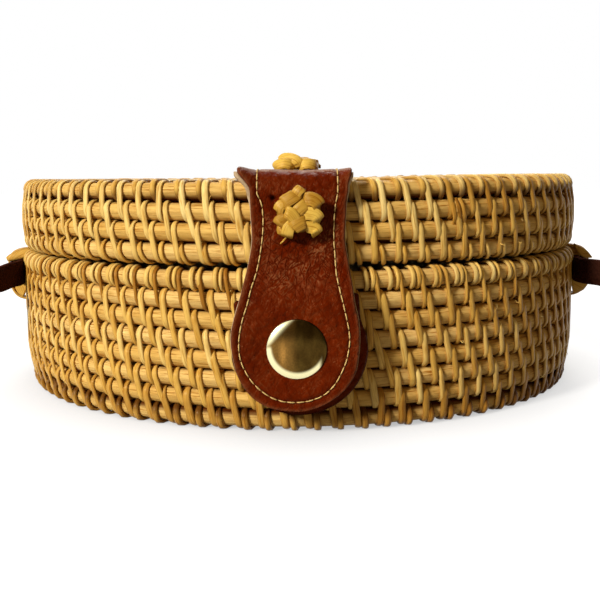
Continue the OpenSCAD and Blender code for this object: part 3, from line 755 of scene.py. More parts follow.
def strap_lashing(side, name):
    """Three strands over the strap, and their flat ends that stand out beside it."""
    low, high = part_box(f"strap_lashing_{name}")
    rise = STRAP_IN_R + 2 * STRAP_T + STRAP_GAP + 0.00065
    top, bottom = high.z - 0.0004, low.z + 0.0007
    line = spline([(0.0955, top), (0.0992, top + 0.0001), (0.1028, top - 0.0006),
                   (rise - 0.0006, top - 0.0022), (rise, top - 0.0048), (rise, bottom + 0.0075),
                   (rise - 0.0007, bottom + 0.0042), (0.1028, bottom + 0.0014),
                   (0.0992, bottom + 0.0002), (0.0955, bottom)], 5)
    share = np.linspace(-1, 1, len(line))
    tangent = np.gradient(line, axis=0)
    normal = np.stack([-tangent[:, 1], tangent[:, 0]], 1)
    normal *= np.sign(normal[len(line) // 2, 0])
    sweeps = Sweeps()
    for shift, lean, tone in LASH_STRANDS:
        angle = side * STRAP_ANGLE + (shift + lean * share) / WALL_R
        sweeps.strand(around(line[:, 0], angle, line[:, 1]),
                      around(normal[:, 0], angle, normal[:, 1]), 0.0018, 0.0008, tone)
    for widths, places in LASH_ENDS[name]:
        line = spline([(side * x, y, z) for x, y, z in places], 6) / 1000
        share = np.linspace(0, len(widths) - 1, len(line))
        wide = np.interp(share, np.arange(len(widths)), widths) / 1000
        sweeps.strand(line, (0.15 * side, -1, 0.1), wide, 0.0009, 0.53 if side < 0 else 0.45,
                      deep=STRAND_EDGE_SHADE)
    dress(sweeps.build(f"strap_lashing_{name}_strands", STRAND_CANE), "base", "rattan_strand",
          f"strap_lashing_{name}")


for side, name in ((-1, "left"), (1, "right")):
    strap_end(side, name)
    strap_lashing(side, name)


# Leather clasp: places in millimetres, x to the right and z up, as in the photograph
CLASP_FACE, FLAP_FACE = 102.7, 107.2
CLASP_TOP, CLASP_BACK = 72.7, 68.5
FOLD_R = 6.4
BEND_Z = 51.9
TIP_Z, TIP_START_Z = 7.72, 12
LEATHER_T, BACKING_T = 1.4, 1.0
SNAP = (-0.7, 24.4)
HOLE = (-6.7, 65.2)
CLASP_LEFT = [(-12.9, 67.5), (-12.9, 64.8), (-12.7, 59.5), (-12.5, 54.1), (-13.3, 48.9),
              (-14.5, 44.0), (-16.2, 37.4), (-17.6, 32.5), (-18.3, 28.4), (-18.0, 23.6),
              (-16.5, 17.3), (-13.1, 12.0), (-8.3, 9.0), (-1.5, 7.7)]
CLASP_RIGHT = [(13.5, 67.5), (13.0, 64.6), (12.7, 59.5), (12.5, 53.9), (13.3, 48.7), (14.3, 42.6),
               (15.0, 37.2), (16.0, 32.3), (16.3, 27.4), (16.0, 23.0), (15.0, 17.9), (12.0, 13.4),
               (7.4, 10.0), (2.3, 8.1), (-1.5, 7.7)]
# The seam on the clasp's front, and its left and right lines and end on the back
SEAM_LEFT = [(-11.0, 66.5), (-9.7, 63.0), (-9.5, 57.0), (-10.4, 50.0), (-11.5, 45.0),
             (-12.8, 41.1), (-13.8, 37.1), (-14.9, 33.8), (-15.8, 30.0), (-16.2, 26.0),
             (-15.7, 22.0), (-14.0, 18.1), (-11.5, 14.8), (-8.0, 12.1), (-4.6, 10.8), (-1.0, 10.4)]
SEAM_RIGHT = [(10.6, 66.5), (9.8, 62.0), (9.5, 55.0), (9.8, 49.9), (10.1, 45.0), (10.9, 41.0),
              (11.8, 37.3), (12.8, 32.9), (13.4, 29.6), (13.5, 26.5), (12.7, 22.0), (11.2, 18.3),
              (9.4, 15.2), (6.6, 12.5), (2.8, 10.9), (-1.0, 10.4)]
SEAM_BACK_LEFT, SEAM_BACK_RIGHT, SEAM_BACK_END = -11.0, 10.6, 3.0


def bell(x, width, power=2):
    """1 at x = 0, falling off over width."""
    return np.exp(-(x / width) ** power)


def clasp_profile():
    """The clasp's outer face in side view: outward and up, from its back end to its tip."""
    mid = (CLASP_FACE - FOLD_R, CLASP_TOP - FOLD_R)
    points = [(y, CLASP_TOP) for y in np.arange(CLASP_BACK, mid[0], 0.5)]
    for turn in np.radians(np.linspace(90, 0, 24)):
        points.append((mid[0] + FOLD_R * math.cos(turn), mid[1] + FOLD_R * math.sin(turn)))
    for z in np.arange(mid[1] - 0.4, TIP_START_Z, -0.45):
        rise = float(smooth((BEND_Z - 1.2 - z) / 14.5))
        points.append((CLASP_FACE + (FLAP_FACE - CLASP_FACE) * rise, z))
    for turn in np.linspace(0, math.pi / 2, 22)[1:]:
        points.append((FLAP_FACE, TIP_START_Z - (TIP_START_Z - TIP_Z) * math.sin(turn)))
    points = np.array(points)
    tangent = np.gradient(points, axis=0)
    normal = unit(np.stack([-tangent[:, 1], tangent[:, 0]], 1))
    normal *= np.where(normal @ np.array([1.0, 1.0]) < 0, -1, 1)[:, None]
    return points, normal, run_length(points)


PROFILE, PROFILE_NORMAL, PROFILE_S = clasp_profile()
FRONT = PROFILE[:, 1] < CLASP_TOP - FOLD_R + 0.01
FRONT_Z, FRONT_S = PROFILE[FRONT, 1][::-1], PROFILE_S[FRONT][::-1]
FRONT_START_S = float(np.interp(CLASP_TOP - FOLD_R, FRONT_Z, FRONT_S))
FOLD_S = FRONT_START_S - FOLD_R * math.pi / 4


def clasp_edge(points, side):
    """The edge's x for each row of the profile: flared at the fold, rounded at the back end."""
    line = spline(points, 12)
    order = np.argsort(line[:, 1])
    at = np.interp(PROFILE[:, 1], line[order, 1], line[order, 0])
    flare, corner_r = 3.4 if side < 0 else 1.5, 5
    top = side * (13.0 + flare * bell(PROFILE_S - FOLD_S + 1.5, 3.4))
    corner = np.clip(corner_r - PROFILE_S, 0, corner_r)
    top = top - side * (corner_r - np.sqrt(np.maximum(corner_r ** 2 - corner ** 2, 0)))
    share = smooth((PROFILE_S - FOLD_S) / 6)
    return top * (1 - share) + at * share


CLASP_EDGES = clasp_edge(CLASP_LEFT, -1), clasp_edge(CLASP_RIGHT, 1)


def near(x, s, line):
    """Distance from each point (x, s) to the nearest of a dense line's points."""
    points = np.stack([x.ravel(), s.ravel()], 1)
    best = np.full(len(points), 1e9)
    for start in range(0, len(line), 60):
        part = line[start:start + 60]
        gap = np.linalg.norm(points[:, None] - part[None], axis=2).min(axis=1)
        best = np.minimum(best, gap)
    return best.reshape(x.shape)


def flat_line(points):
    """Points of the photograph's clasp (x, z) as a line over its flat pattern (x, s)."""
    line = spline(points, 10)
    return np.stack([line[:, 0], np.interp(line[:, 1], FRONT_Z, FRONT_S)], 1)


def seam_line():
    """The whole seam: down the right side, up the left, over the fold and across the back."""
    left, right = flat_line(SEAM_LEFT), flat_line(SEAM_RIGHT)
    loop = [(SEAM_BACK_RIGHT, s) for s in np.arange(SEAM_BACK_END, right[0, 1], 0.5)]
    loop += [*right, *left[::-1][1:]]
    loop += [(SEAM_BACK_LEFT, s) for s in np.arange(left[0, 1], SEAM_BACK_END, -0.5)]
    loop += [(x, SEAM_BACK_END) for x in np.arange(SEAM_BACK_LEFT, SEAM_BACK_RIGHT, 0.5)]
    loop = np.array(loop)
    step = run_length(loop)
    at = np.arange(0, step[-1], 0.25)
    return np.stack([np.interp(at, step, loop[:, 0]), np.interp(at, step, loop[:, 1])], 1)


SEAM = seam_line()
OUTLINE = np.vstack([np.stack([edge, PROFILE_S], 1) for edge in CLASP_EDGES])


def height_at(s):
    return np.interp(s, PROFILE_S, PROFILE[:, 1])


def swell(x, s):
    """How far the leather stands off its plain shape, in millimetres."""
    z = height_at(s)
    front = s > FRONT_START_S
    dish = 0.55 * bell(np.hypot(x - SNAP[0], z - SNAP[1]) - 12.5, 3.2) * front
    curl = 1.5 * smooth((-x - 11) / 5) * bell(s - FOLD_S + 1, 3.6)
    curl = curl + 0.9 * smooth((x - 11) / 4) * bell(s - FOLD_S + 1, 3.0)
    crest = 0.75 * bell(s - FOLD_S, 3.2)
    wave = 0.16 * np.sin(0.31 * x + 1.1) * np.sin(0.17 * s + 0.4)
    hole = -1.5 * bell(np.hypot(x - HOLE[0], z - HOLE[1]), 0.62) * front
    return dish + curl + crest + wave + hole


def clasp_point(x, s, depth):
    """A point under the clasp's outer face, in metres."""
    y = np.interp(s, PROFILE_S, PROFILE[:, 0])
    n = np.stack([np.interp(s, PROFILE_S, PROFILE_NORMAL[:, k]) for k in (0, 1)], -1)
    off = swell(x, s) - depth
    return np.stack([x, -(y + n[..., 0] * off), height_at(s) + n[..., 1] * off], -1) / 1000


def spread(columns, crowding):
    """Places from -1 to 1, closer together towards both ends."""
    even = np.linspace(-1, 1, columns)
    return np.sin(even * math.pi / 2) * crowding + even * (1 - crowding)


def rounded(edge, depth, reach):
    """How far a softened edge falls back, by the distance from it."""
    return depth * (1 - np.sqrt(np.clip(1 - (1 - np.clip(edge / reach, 0, 1)) ** 2, 0, 1)))


def plate(name, outer, inner, x, s, material, dark, dark_inside, **both):
    """A sheet of leather from its two faces; the inner one's columns run the other way."""
    verts = np.concatenate([outer, inner], 1)
    grain = np.zeros(verts.shape)
    grain[..., 0] = np.concatenate([x, x[:, ::-1]], 1)
    grain[..., 1] = np.concatenate([s, s], 1)
    both = {key: np.concatenate([value, value[:, ::-1]], 1) for key, value in both.items()}
    return make_mesh(name, verts, grid_faces(*verts.shape[:2]), material, grain=grain,
                     deep=np.concatenate([dark, dark_inside], 1), **both)


def clasp_layer(name, top, thick, grow, columns, groove, material):
    """One ply of the clasp, with rounded edges, as a closed mesh."""
    curled = bell(PROFILE_S - FOLD_S - 1.5, 5.5, 4)
    left = CLASP_EDGES[0] - grow * (1 + 4.5 * curled)
    right = CLASP_EDGES[1] + grow * (1 + 1.5 * curled)
    half = np.maximum((right - left) / 2, 0.25)
    x = ((left + right) / 2)[:, None] + half[:, None] * spread(columns, 0.35)
    s = np.repeat(PROFILE_S[:, None], columns, 1)
    edge, seam = near(x, s, OUTLINE), near(x, s, SEAM)
    outer = clasp_point(x, s, top + rounded(edge, 0.42, 0.42) + groove * bell(seam, 0.55))
    inner = clasp_point(x[:, ::-1], s, top + thick)
    z = height_at(s)
    # A painted highlight on the top of the fold, and paler along the edges
    fold_highlight_and_pale_edge = 0.85 * smooth((FOLD_S - 0.9 - s) / 1.2) * smooth((s - FOLD_S + 12) / 5)
    fold_highlight_and_pale_edge = fold_highlight_and_pale_edge + 0.3 * bell(edge - 0.35, 0.4)
    hole = bell(np.hypot(x - HOLE[0], z - HOLE[1]), 0.75, 4)
    # Painted shade along the seam's groove and in the hole, and darker towards the left edge
    dark = 0.5 * bell(seam, 0.6) + 0.25 * smooth((-x - 9) / 6) + hole
    # Where the folds are creased most, with their painted shade and painted highlight
    crack = 0.3 + 0.7 * bell(z - 53, 13, 4) * smooth(edge / 2)
    return plate(name, outer, inner, x, s, material, dark, 0 * dark, tone=fold_highlight_and_pale_edge, crack=crack)


def clasp_thread():
    """The seam's stitches, each a short thread that dips at its ends."""
    sweeps = Sweeps()
    count = np.arange(len(SEAM))
    ends = np.abs(np.linspace(-1, 1, 7))
    taper = 1 - 0.45 * ends ** 4
    for k in range(0, len(SEAM) - 10, 10):
        at = np.linspace(k + 0.2, k + 9.2 + rng.uniform(-0.5, 0.2), 7)
        x, s = (np.interp(at, count, SEAM[:, axis]) for axis in (0, 1))
        here, above = clasp_point(x, s, 0.02 + 0.28 * ends ** 3), clasp_point(x, s, -1.0)
        sweeps.strand(here, above - here, 0.00018 * taper, 0.00017 * taper, rng.uniform(0.3, 1),
                      round_section(8))
    return sweeps.build("clasp_thread", THREAD)


def clasp():
    shell = clasp_layer("clasp_leather", 0.0, LEATHER_T, 0.0, 74, 0.32, CLASP_LEATHER)
    lining = clasp_layer("clasp_suede", LEATHER_T, BACKING_T, 0.18, 26, 0.0, SUEDE)
    for obj, slot in ((shell, "clasp_leather"), (lining, "suede"),
                      (clasp_thread(), "clasp_leather")):
        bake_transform(obj)
    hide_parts("clasp_strap", "clasp_flap")
    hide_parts("clasp_strap_backing", "clasp_flap_backing")


clasp()


# Loose fibres, press stud, catch tab and its tie

def strand_flaw(sweeps, degrees, tone):
    """A darker strand over the lid's second rod."""
    angle = math.radians(degrees)
    places = [around(WALL_R + out, angle + 0.004 * k, 0.0645 - 0.0019 * k)
              for k, out in enumerate((-0.0012, -0.0001, 0.0001, -0.0001, -0.0012))]
    sweeps.strand(spline(places, 4), around(1, angle, 0), 0.0015, 0.0006, tone)


def loose_fibres(body, z_low, z_high, count, marks, flaws):
    """Short frayed fibres that stand off the weave, as on worn cane, and darker strands."""
    sweeps = Sweeps()
    places = [(rng.uniform(0, 2 * math.pi), rng.uniform(z_low, z_high)) for _ in range(count)]
    for degrees, tone in flaws:
        strand_flaw(sweeps, degrees, tone)
    for angle, z in places + marks:
        lean = rng.uniform(-1, 1)
        length = rng.uniform(0.0012, 0.0036)
        line = spline([around(WALL_R - 0.0006, angle, z),
                       around(WALL_R + 0.0005, angle + lean * length * 4, z - 0.3 * length),
                       around(WALL_R + rng.uniform(0.0002, 0.0007), angle + lean * length * 9,
                              z - rng.uniform(-0.3, 0.9) * length)], 5)
        thin = np.linspace(1, 0.3, len(line)) * rng.uniform(0.0001, 0.00024)
        sweeps.strand(line, around(1, angle, 0), thin, thin * 0.6, rng.uniform(0.5, 0.9),
                      round_section(5))
    dress(sweeps.build(f"{body}_loose_fibres", STRAND_CANE), body, "rattan_strand")


# Where the photograph shows frayed fibres and dark strands: angle from the clasp, and height
LID_FRAYS = [(math.radians(26.5 + k), 0.0618 - 0.0016 * k) for k in range(2)]
BASE_FRAYS = [(math.radians(degrees), z) for degrees, z in (
    (36, 0.0331), (41, 0.0333), (33, 0.0325), (54, 0.0385), (49, 0.0275))]
loose_fibres("lid", 0.051, 0.066, 14, LID_FRAYS, ((25.6, 0.3), (26.6, 0.16), (27.5, 0.34)))
loose_fibres("base", 0.006, 0.04, 24, BASE_FRAYS, ())


def lathe(name, profile, y, body, node, sides=80, painted_reflection=0.0):
    """A turned metal piece on the stud's axis: profile is (radius, height outward)."""
    r, h = np.array(profile, float).T[..., None]
    turn = full_turn(sides)
    x, z = r * np.cos(turn), r * np.sin(turn)
    h = h + 0 * turn
    verts = np.stack([x, -h, z], -1) / 1000 + np.array([SNAP_X, y, SNAP_Z])
    # With its last argument the cap gets a painted reflection: dark but for bright crescents at its
    # upper left and below, lighter on its left, with a warm painted highlight left of its middle
    upper = smooth((z - 1.046 * x - 8.2) / 2.0) * smooth((1.4 - x) / 1.6)
    lower = smooth((np.hypot(x - 0.3, z - 0.9) - 6.7) / 0.9) * smooth((1.5 - z) / 1.5)
    bright_share = np.maximum(upper, lower * smooth((7 - x) / 1.2)) * painted_reflection + (1 - painted_reflection)
    warm = 0.28 * smooth((0.8 - x) / 3) + 0.6 * bell(x + 3.7, 0.9) * bell(z + 0.8, 3.4)
    obj = make_mesh(name, verts, grid_faces(len(profile), sides), GOLD_METAL, tone=bright_share,
                    deep=painted_reflection * np.clip(warm, 0, 1), grain=np.stack([x, h, z], -1))
    dress(obj, body, "gold_metal", node)


SNAP_X, SNAP_Z = SNAP[0] / 1000, SNAP[1] / 1000 + 0.0006
DOME_R, DOME_TOP, DOME_RISE, DOME_TURN = 8.25, 1.8, 1.35, 1.35


def snap():
    """Cap, socket, stud and rivet; profiles in millimetres."""
    dome = [(0.02, DOME_TOP)]
    dome += [(DOME_R * math.sin(a),
              DOME_TOP - DOME_RISE * (1 - math.cos(a)) / (1 - math.cos(DOME_TURN)))
             for a in np.linspace(0.06, DOME_TURN, 26)]
    dome += [(8.17, 0.3), (8.22, 0.16), (8.14, 0.04), (7.7, 0.0), (0.02, 0.0)]
    lathe("snap_cap_dome", dome, -FLAP_FACE / 1000, "flap", "snap_cap", 160, 1.0)
    low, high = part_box("snap_socket")
    deep = (high.y - low.y) * 1000
    face = [(1.6, deep), (4.9, deep), (5.2, deep - 0.25), (5.25, deep - 0.6), (5.25, 0.5),
            (5.05, 0.12), (4.7, 0.0), (3.5, 0.05), (3.1, 0.25), (2.75, 0.3), (2.5, 0.5),
            (2.5, deep - 0.6), (1.8, deep - 0.6), (1.6, deep)]
    lathe("snap_socket_ring", face, high.y, "flap", "snap_socket")
    low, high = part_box("snap_stud")
    tall = (high.y - low.y) * 1000
    post = [(0.02, 0.0), (4.35, 0.0), (4.5, 0.14), (4.4, 0.36), (2.3, 0.42), (1.8, 0.7),
            (1.75, tall - 1.0), (2.2, tall - 0.75), (2.3, tall - 0.5), (2.2, tall - 0.2),
            (1.8, tall - 0.03), (0.02, tall)]
    lathe("snap_stud_post", post, high.y, "base", "snap_stud")
    rivet_materials = bpy.data.objects["snap_rivet"].data.materials
    rivet_materials.clear()
    rivet_materials.append(GOLD_METAL)


TAB_R, TAB_HALF, TAB_CORNER, TAB_RAISE, TAB_TURN, TAB_SHIFT = 18.9, 17.1, 0.8, 1, 3.5, 0.1
TAB_COLUMNS = 46


def catch_tab():
    """The tab under the flap: straight top edge, round end, turned a little as in the photo."""
    low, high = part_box("catch_tab")
    top, middle = high.z * 1000 + TAB_RAISE, SNAP[1]
    rows = []
    for z in np.linspace(top, middle + 2, 30):
        reach = TAB_HALF + (TAB_R - TAB_HALF) * smooth((middle + 8 - z) / 8)
        corner = np.clip(z - (top - TAB_CORNER), 0, TAB_CORNER)
        rows.append((z, reach - (TAB_CORNER - math.sqrt(max(TAB_CORNER ** 2 - corner ** 2, 0)))))
    for turn in np.linspace(0.1, math.pi / 2 - 0.02, 34):
        rows.append((middle - TAB_R * math.sin(turn), TAB_R * math.cos(turn)))
    z, reach = np.array(rows).T
    outline = np.vstack([np.stack([reach, z], 1), np.stack([-reach, z], 1), np.stack(
        [np.linspace(-TAB_HALF, TAB_HALF, 70), np.full(70, top)], 1)])
    x = reach[:, None] * spread(TAB_COLUMNS, 0.4)
    z = np.repeat(z[:, None], TAB_COLUMNS, 1)
    edge = near(x, z, outline)
    ripple = 0.1 * np.sin(0.4 * x) * np.sin(0.3 * z) * smooth(edge / 3)
    turn = math.radians(TAB_TURN)
    px = x * math.cos(turn) - (z - middle) * math.sin(turn) + TAB_SHIFT
    pz = middle + (z - middle) * math.cos(turn) + x * math.sin(turn)
    front = np.stack([px, low.y * 1000 + rounded(edge, 0.4, 0.45) - ripple, pz], -1) / 1000
    back = np.stack([px, np.full(x.shape, high.y * 1000), pz], -1)[:, ::-1] / 1000
    dark = 0.8 * bell(edge, 0.7)
    obj = plate("catch_tab_leather", front, back, x, 90 + z, CLASP_LEATHER, dark, dark[:, ::-1],
                tone=0 * x)
    dress(obj, "base", "clasp_leather", "catch_tab")


def catch_tie():
    """The rattan stitch that ties the tab to the wall, seen as two strands."""
    low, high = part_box("catch_tab_tie")
    middle = (low.z + high.z) / 2
    share = np.linspace(-1, 1, 19)
    sweeps = Sweeps()
    for k, rise in enumerate((-0.0008, 0.0008)):
        x = np.linspace(low.x + 0.0003, high.x - 0.0003, 19)
        y = high.y - 0.0003 * (1 - share ** 4) - 0.0002 + 0.0007 * share ** 4
        z = middle + rise + 0.0004 * (k - 0.5) * share
        sweeps.strand(np.stack([x, y, z], 1), (0, -1, 0), 0.00155, 0.0006, 0.55 + 0.2 * k)
    dress(sweeps.build("catch_tie_strands", STRAND_CANE), "base", "rattan_strand",
          "catch_tab_tie")


snap()
catch_tab()
catch_tie()


# Rattan knots on the clasp

# Bands of the front knot: width, then places (right, up, out), all in millimetres
FRONT_BANDS = [
    (2.5, [(-0.9, 4.2, 2.6), (0.1, 5.8, 3.6), (1.2, 6.6, 3.1)]),
    (3.2, [(-0.1, 5.0, 2.8), (-1.8, 3.9, 4.0), (-3.4, 3.0, 3.4), (-3.9, 2.2, 2.2)]),
    (2.7, [(-2.6, 2.3, 3.0), (-4.2, 2.1, 3.5), (-5.2, 1.2, 2.5), (-5.4, -0.5, 0.8)]),
    (2.9, [(2.7, 2.6, 2.8), (1.5, 1.7, 4.2), (0.2, 0.6, 4.2), (-0.7, -0.4, 3.0)]),
    (3.3, [(1.5, 3.3, 3.2), (3.6, 3.6, 4.3), (5.4, 2.6, 3.2), (6.1, 0.8, 0.9)]),
    (3.1, [(1.0, -0.4, 3.4), (3.3, -0.4, 4.3), (5.2, -1.1, 3.2), (5.9, -3.0, 0.9)]),
    (2.9, [(1.4, -4.2, 2.6), (3.5, -4.2, 3.7), (5.0, -4.8, 2.8), (5.3, -6.4, 0.7)]),
    (3.1, [(2.5, -2.4, 3.0), (0.9, -3.1, 4.5), (-0.7, -4.0, 3.8), (-1.6, -4.6, 2.6)]),
    (3.0, [(-3.6, 0.2, 3.2), (-2.1, -0.4, 4.5), (-1.0, -1.8, 4.3), (-0.6, -3.2, 3.0)]),
    (2.8, [(-2.2, -2.0, 2.8), (-3.9, -1.9, 3.5), (-5.2, -2.5, 2.4), (-5.4, -3.9, 0.8)]),
    (2.9, [(-1.2, -3.4, 3.2), (-2.4, -4.2, 4.0), (-2.9, -5.6, 3.0), (-3.1, -6.9, 0.9)]),
    (2.2, [(-4.2, -4.2, 2.4), (-4.8, -5.0, 2.2), (-4.4, -6.6, 0.8)])]
WISP = (0.35, [(-3.1, -6.7, 1.1), (-3.8, -7.7, 1.0), (-4.9, -8.8, 0.7)])
# Lobes of the top knot, as seen from the front: width, then places (x, y, z)
TOP_LOBES = [
    (3.3, [(-6.3, -86.6, 73.0), (-5.7, -88.0, 74.0), (-4.0, -88.9, 74.5), (-2.3, -88.8, 74.2),
           (-1.2, -88.0, 73.3)]),
    (3.0, [(-5.2, -86.0, 75.3), (-3.6, -87.0, 76.1), (-1.5, -87.9, 75.9), (0.1, -88.5, 74.9),
           (0.5, -88.3, 73.6)]),
    (3.2, [(0.3, -87.6, 73.2), (1.3, -88.6, 74.2), (3.1, -88.8, 74.4), (4.7, -88.0, 73.9),
           (5.4, -86.4, 73.1)])]


def knot(centre, outward, up, spin, size, rise, bands):
    """A button knot: flat bands that cross over its middle and turn down at its rim."""
    centre, outward, up = (np.array(v, float) for v in (centre, outward, up))
    right = np.cross(up, outward)
    turn = math.radians(spin)
    right, up = (right * math.cos(turn) + up * math.sin(turn),
                 up * math.cos(turn) - right * math.sin(turn))
    sweeps = Sweeps()
    for width, places in bands:
        line = spline(places, 8)
        share = np.linspace(-1, 1, len(line))
        top, end = line[:, 2].max(), np.where(share < 0, line[0, 2], line[-1, 2])
        line[:, 2] = top * (1 - 0.06 * share ** 2) - (0.94 * top - end) * np.abs(share) ** 6
        line = line * np.array([size, size, rise]) / 1000
        flat = line[:, 0:1] * right + line[:, 1:2] * up
        tilt = np.clip(1 - line[:, 2:3] / 0.0042, 0, 1) * 240
        ends = 1 - 0.12 * np.abs(share) ** 6
        sweeps.strand(centre + line @ np.stack([right, up, outward]),
                      outward + flat * (20 + tilt), 1.2 * width * size / 1000 * ends, 0.0005,
                      0.44 + rng.uniform(-0.14, 0.14), RIBBON_SECTION)
    # A ring round the knot's rim under the bands' ends, darkened by half with painted shade
    turn = np.linspace(0, 2 * math.pi, 40)[:, None]
    hoop = 0.0044 * size * (np.cos(turn) * right + np.sin(turn) * up)
    sweeps.strand(centre + hoop + 0.0011 * outward, outward + hoop * 90, 0.0032, 0.0012, 0.35,
                  deep=0.5)
    return sweeps


def knots():
    sweeps = knot((-0.0001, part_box("clasp_knot_front")[1].y, 0.0616), (0, -1, 0), (0, 0, 1), 0,
                  0.96, 0.92, FRONT_BANDS + [WISP])
    dress(sweeps.build("knot_front_strands", KNOT_CANE), "lid", "rattan_strand",
          "clasp_knot_front")
    low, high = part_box("clasp_knot_top")
    sweeps = knot(((low.x + high.x) / 2, (low.y + high.y) / 2, low.z), (0, 0, 1), (0, 1, 0), 140,
                  0.8, 0.72, FRONT_BANDS)
    for width, places in TOP_LOBES:
        line = spline(places, 7) / 1000
        ends = 1 - 0.2 * np.abs(np.linspace(-1, 1, len(line))) ** 6
        sweeps.strand(line, (0, -1, 0.45), width / 1000 * ends, 0.0009, 0.56, RIBBON_SECTION)
    dress(sweeps.build("knot_top_strands", KNOT_CANE), "lid", "rattan_strand", "clasp_knot_top")


knots()


# Hinge lashings behind the case
BAND_TURNS, BAND_PITCH, BAND_R = 2.9, 0.0015, 0.0038


def hinge_band(side_name, body, rod):
    """A lashing's turns round one rim rod; returns how far from the middle they are."""
    node = f"hinge_band_{side_name}_{body}"
    x = sum(corner.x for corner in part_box(node)) / 2
    t = np.linspace(0, 2 * math.pi * BAND_TURNS, 90)
    c, s = np.cos(t + 0.5), np.sin(t + 0.5)
    along = x + BAND_PITCH * (t / (2 * math.pi) - BAND_TURNS / 2)
    y = np.sqrt(np.maximum((rod[0] + BAND_R * c) ** 2 - along ** 2, 0))
    sweeps = Sweeps()
    sweeps.strand(np.stack([along, y, rod[1] + BAND_R * s], 1), np.stack([0 * t, c, s], 1),
                  0.00152, 0.0008, 0.58)
    dress(sweeps.build(f"hinge_wrap_{side_name}_{body}", STRAND_CANE), body, "rattan_strand",
          node)
    return abs(x)


def hinge_tie(side, name, base_x, lid_x):
    """Two strands that pass from the base's turns to the lid's."""
    sweeps = Sweeps()
    for k, (start, end) in enumerate(((base_x, lid_x), (base_x + 0.0016, lid_x - 0.0014))):
        line = spline([(start, 0.0986 + 0.0004 * k, BASE_RIM_Z - 0.0022),
                       (start + 0.25 * (end - start), 0.1008, BASE_RIM_Z + 0.0014),
                       ((start + end) / 2, 0.1005 + 0.0007 * k, (BASE_RIM_Z + LID_RIM_Z) / 2),
                       (start + 0.75 * (end - start), 0.1003, LID_RIM_Z - 0.0014),
                       (end, 0.0982 + 0.0004 * k, LID_RIM_Z + 0.0022)], 6)
        sweeps.strand(line * np.array([side, 1, 1]), (0, 1, 0), 0.0015, 0.0007, 0.5 + 0.2 * k)
    obj = sweeps.build(f"hinge_tie_{name}", STRAND_CANE)
    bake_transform(obj)


band_x = [(hinge_band(name, "base", base_rod(BASE_ROWS - 1)), hinge_band(name, "lid", lid_rod(0)))
          for name in ("left", "right")]
for side, name in ((-1, "left"), (1, "right")):
    hinge_tie(side, name, *band_x[0])


# Cotton linings
LINING_T, LINING_SIDES = 0.0007, 288


def lining(name, node, body, sign):
    """A cotton pocket: a flat round bottom and a wall with soft folds; sign is its open side."""
    low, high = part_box(node)
    radius = high.x - 0.0001
    bottom, rim = (low.z, high.z) if sign > 0 else (high.z, low.z)
    tall = abs(rim - bottom)
    turn = full_turn(LINING_SIDES)
    fold = sum(math.sin(k) * np.sin(k * turn + 2.1 * k) for k in (5, 9, 14, 23, 31)) / 5
    # Rows of the outside, then of the inside: radius, height over the bottom, share of folds
    rows = [(r, 0.0004, 0.0) for r in np.linspace(0.001, radius - 0.0012, 30)]
    rows += [(radius - 0.0003, 0.0011, 0.2)]
    rows += [(radius, h, 1.0) for h in np.linspace(0.003, tall - 0.0002, 12)]
    outside = len(rows)
    rows += [(radius - LINING_T, h, 1.0) for h in np.linspace(tall - 0.0002, 0.003, 12)]
    rows += [(r, 0.0004 + LINING_T, 0.0) for r in np.linspace(radius - 0.0016, 0.001, 30)]
    verts = []
    for r, h, soft in rows:
        at_rim = float(smooth(1 - (tall - h) / 0.006))
        ripple = np.minimum(0.0009 * soft * fold * (1 - 0.5 * at_rim), 0)
        wave = 0.00035 * (1 - soft) * np.sin(3 * turn + 40 * r) * min(1, r / 0.03)
        verts.append(around(r + ripple, turn, bottom + sign * (h + wave)))
    # The outside, seen only through the weave's gaps, is painted dark as shade
    deep = np.repeat([1.0] * outside + [0.0] * (len(rows) - outside), LINING_SIDES)
    obj = make_mesh(name, np.array(verts), grid_faces(len(rows), LINING_SIDES), COTTON, deep=deep)
    dress(obj, body, "cotton", node)


lining("base_cotton", "base_lining", "base", 1)
lining("lid_cotton", "lid_lining", "lid", -1)


# Stage and light

# Where the room beyond the camera is darker than the white behind the bag, between which shares
# of that direction it darkens, and by how much
ROOM_SIDE, ROOM_FROM, ROOM_TO, ROOM_DARK = (0.7, -0.7, 0.0), 0.15, 0.5, 0.85
# The floor's own white, and how much of it a painted shadow takes away close under the bag, within
# a reach
FLOOR_GLOW, FLOOR_PAINTED_SHADOW, FLOOR_REACH, FLOOR_HALF = 0.9, 0.42, 0.025, 3.0


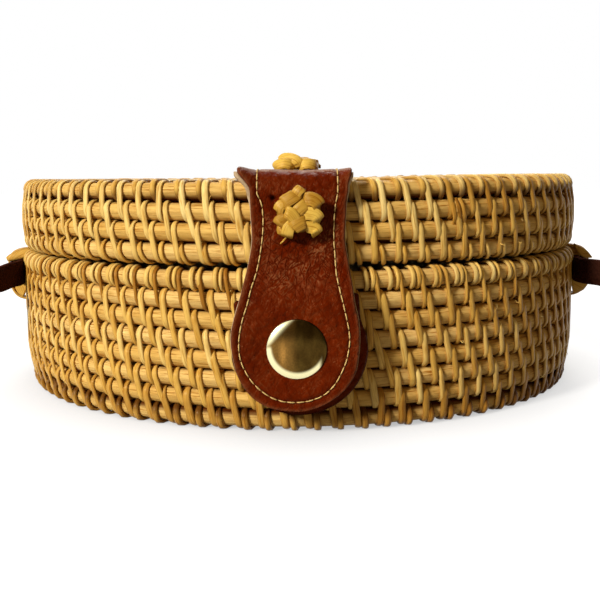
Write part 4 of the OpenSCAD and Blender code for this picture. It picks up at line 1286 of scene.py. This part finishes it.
def world():
    """A weak warm light all round, which camera and mirror rays see as a white room."""
    scene.world = bpy.data.worlds.new("world")
    nodes = Nodes(scene.world)
    nodes.tree.nodes.clear()
    rays, seen = nodes.shown_rays()
    place = nodes.add("TexCoord", {}).outputs["Generated"]
    toward = nodes.add("VectorMath", {0: place, 1: ROOM_SIDE}, operation="DOT_PRODUCT")
    ahead = nodes.add("MapRange", {"Value": toward.outputs["Value"], "From Min": ROOM_FROM,
                                   "From Max": ROOM_TO, "To Min": 0.0, "To Max": ROOM_DARK})
    room = nodes.times(ahead.outputs["Result"], rays["Is Glossy Ray"])
    light = nodes.add("Background", {"Color": (1.0, 0.68, 0.3), "Strength": 0.075})
    shown = nodes.add("Background", {"Color": WHITE, "Strength": nodes.maths(
        "SUBTRACT", 1.0, room)})
    blend = nodes.add("MixShader", {0: seen, 1: light.outputs[0], 2: shown.outputs[0]})
    nodes.add("OutputWorld", {0: blend.outputs[0]})


def sun(name, azimuth, elevation, power, spread_angle, colour):
    """A soft sun; azimuth is measured from the front towards the right."""
    data = bpy.data.lights.new(name, "SUN")
    data.energy, data.angle, data.color = power, math.radians(spread_angle), colour
    obj = bpy.data.objects.new(name, data)
    scene.collection.objects.link(obj)
    up = math.radians(elevation)
    to_light = Vector(around(math.cos(up), math.radians(azimuth), math.sin(up)))
    obj.matrix_world = (-to_light).to_track_quat("-Z", "Y").to_matrix().to_4x4()


def floor():
    """A plain floor that keeps shadows, with a painted shadow close under the bag, and that camera
    and mirror rays see as white.
    """
    corners = ((-1, -1), (1, -1), (1, 1), (-1, 1))
    verts = [(x * FLOOR_HALF, y * FLOOR_HALF, -SAG) for x, y in corners]
    look = Look("floor_white")
    look.feed(look.shader.inputs["Base Color"], (0.24, 0.235, 0.225))
    look.feed(look.shader.inputs["Roughness"], 0.9)
    # Painted shadow: the floor's white dims where the bag is near
    near_bag = look.add("AmbientOcclusion", {"Distance": FLOOR_REACH}, samples=8).outputs["AO"]
    shade = look.times(look.maths("SUBTRACT", 1.0, near_bag), FLOOR_PAINTED_SHADOW)
    glow = look.add("Emission", {"Color": WHITE, "Strength": look.maths(
        "SUBTRACT", FLOOR_GLOW, shade)})
    lit = look.shader.outputs[0]
    both = look.add("AddShader", {0: lit, 1: glow.outputs[0]})
    seen = look.shown_rays()[1]
    pick = look.add("MixShader", {0: seen, 1: lit, 2: both.outputs[0]})
    look.feed(look.tree.nodes["Material Output"].inputs[0], pick.outputs[0])
    make_mesh("floor", verts, [(0, 1, 2, 3)], look.material, smooth_faces=False)


world()
floor()
sun("key", -46, 28, 3.95, 11, (1.0, 0.98, 0.96))
sun("fill", 20, 25, 0.14, 60, (1.0, 0.72, 0.38))
sun("back", 172, 52, 1.3, 25, (1.0, 0.95, 0.88))
scene.view_settings.view_transform = "Standard"
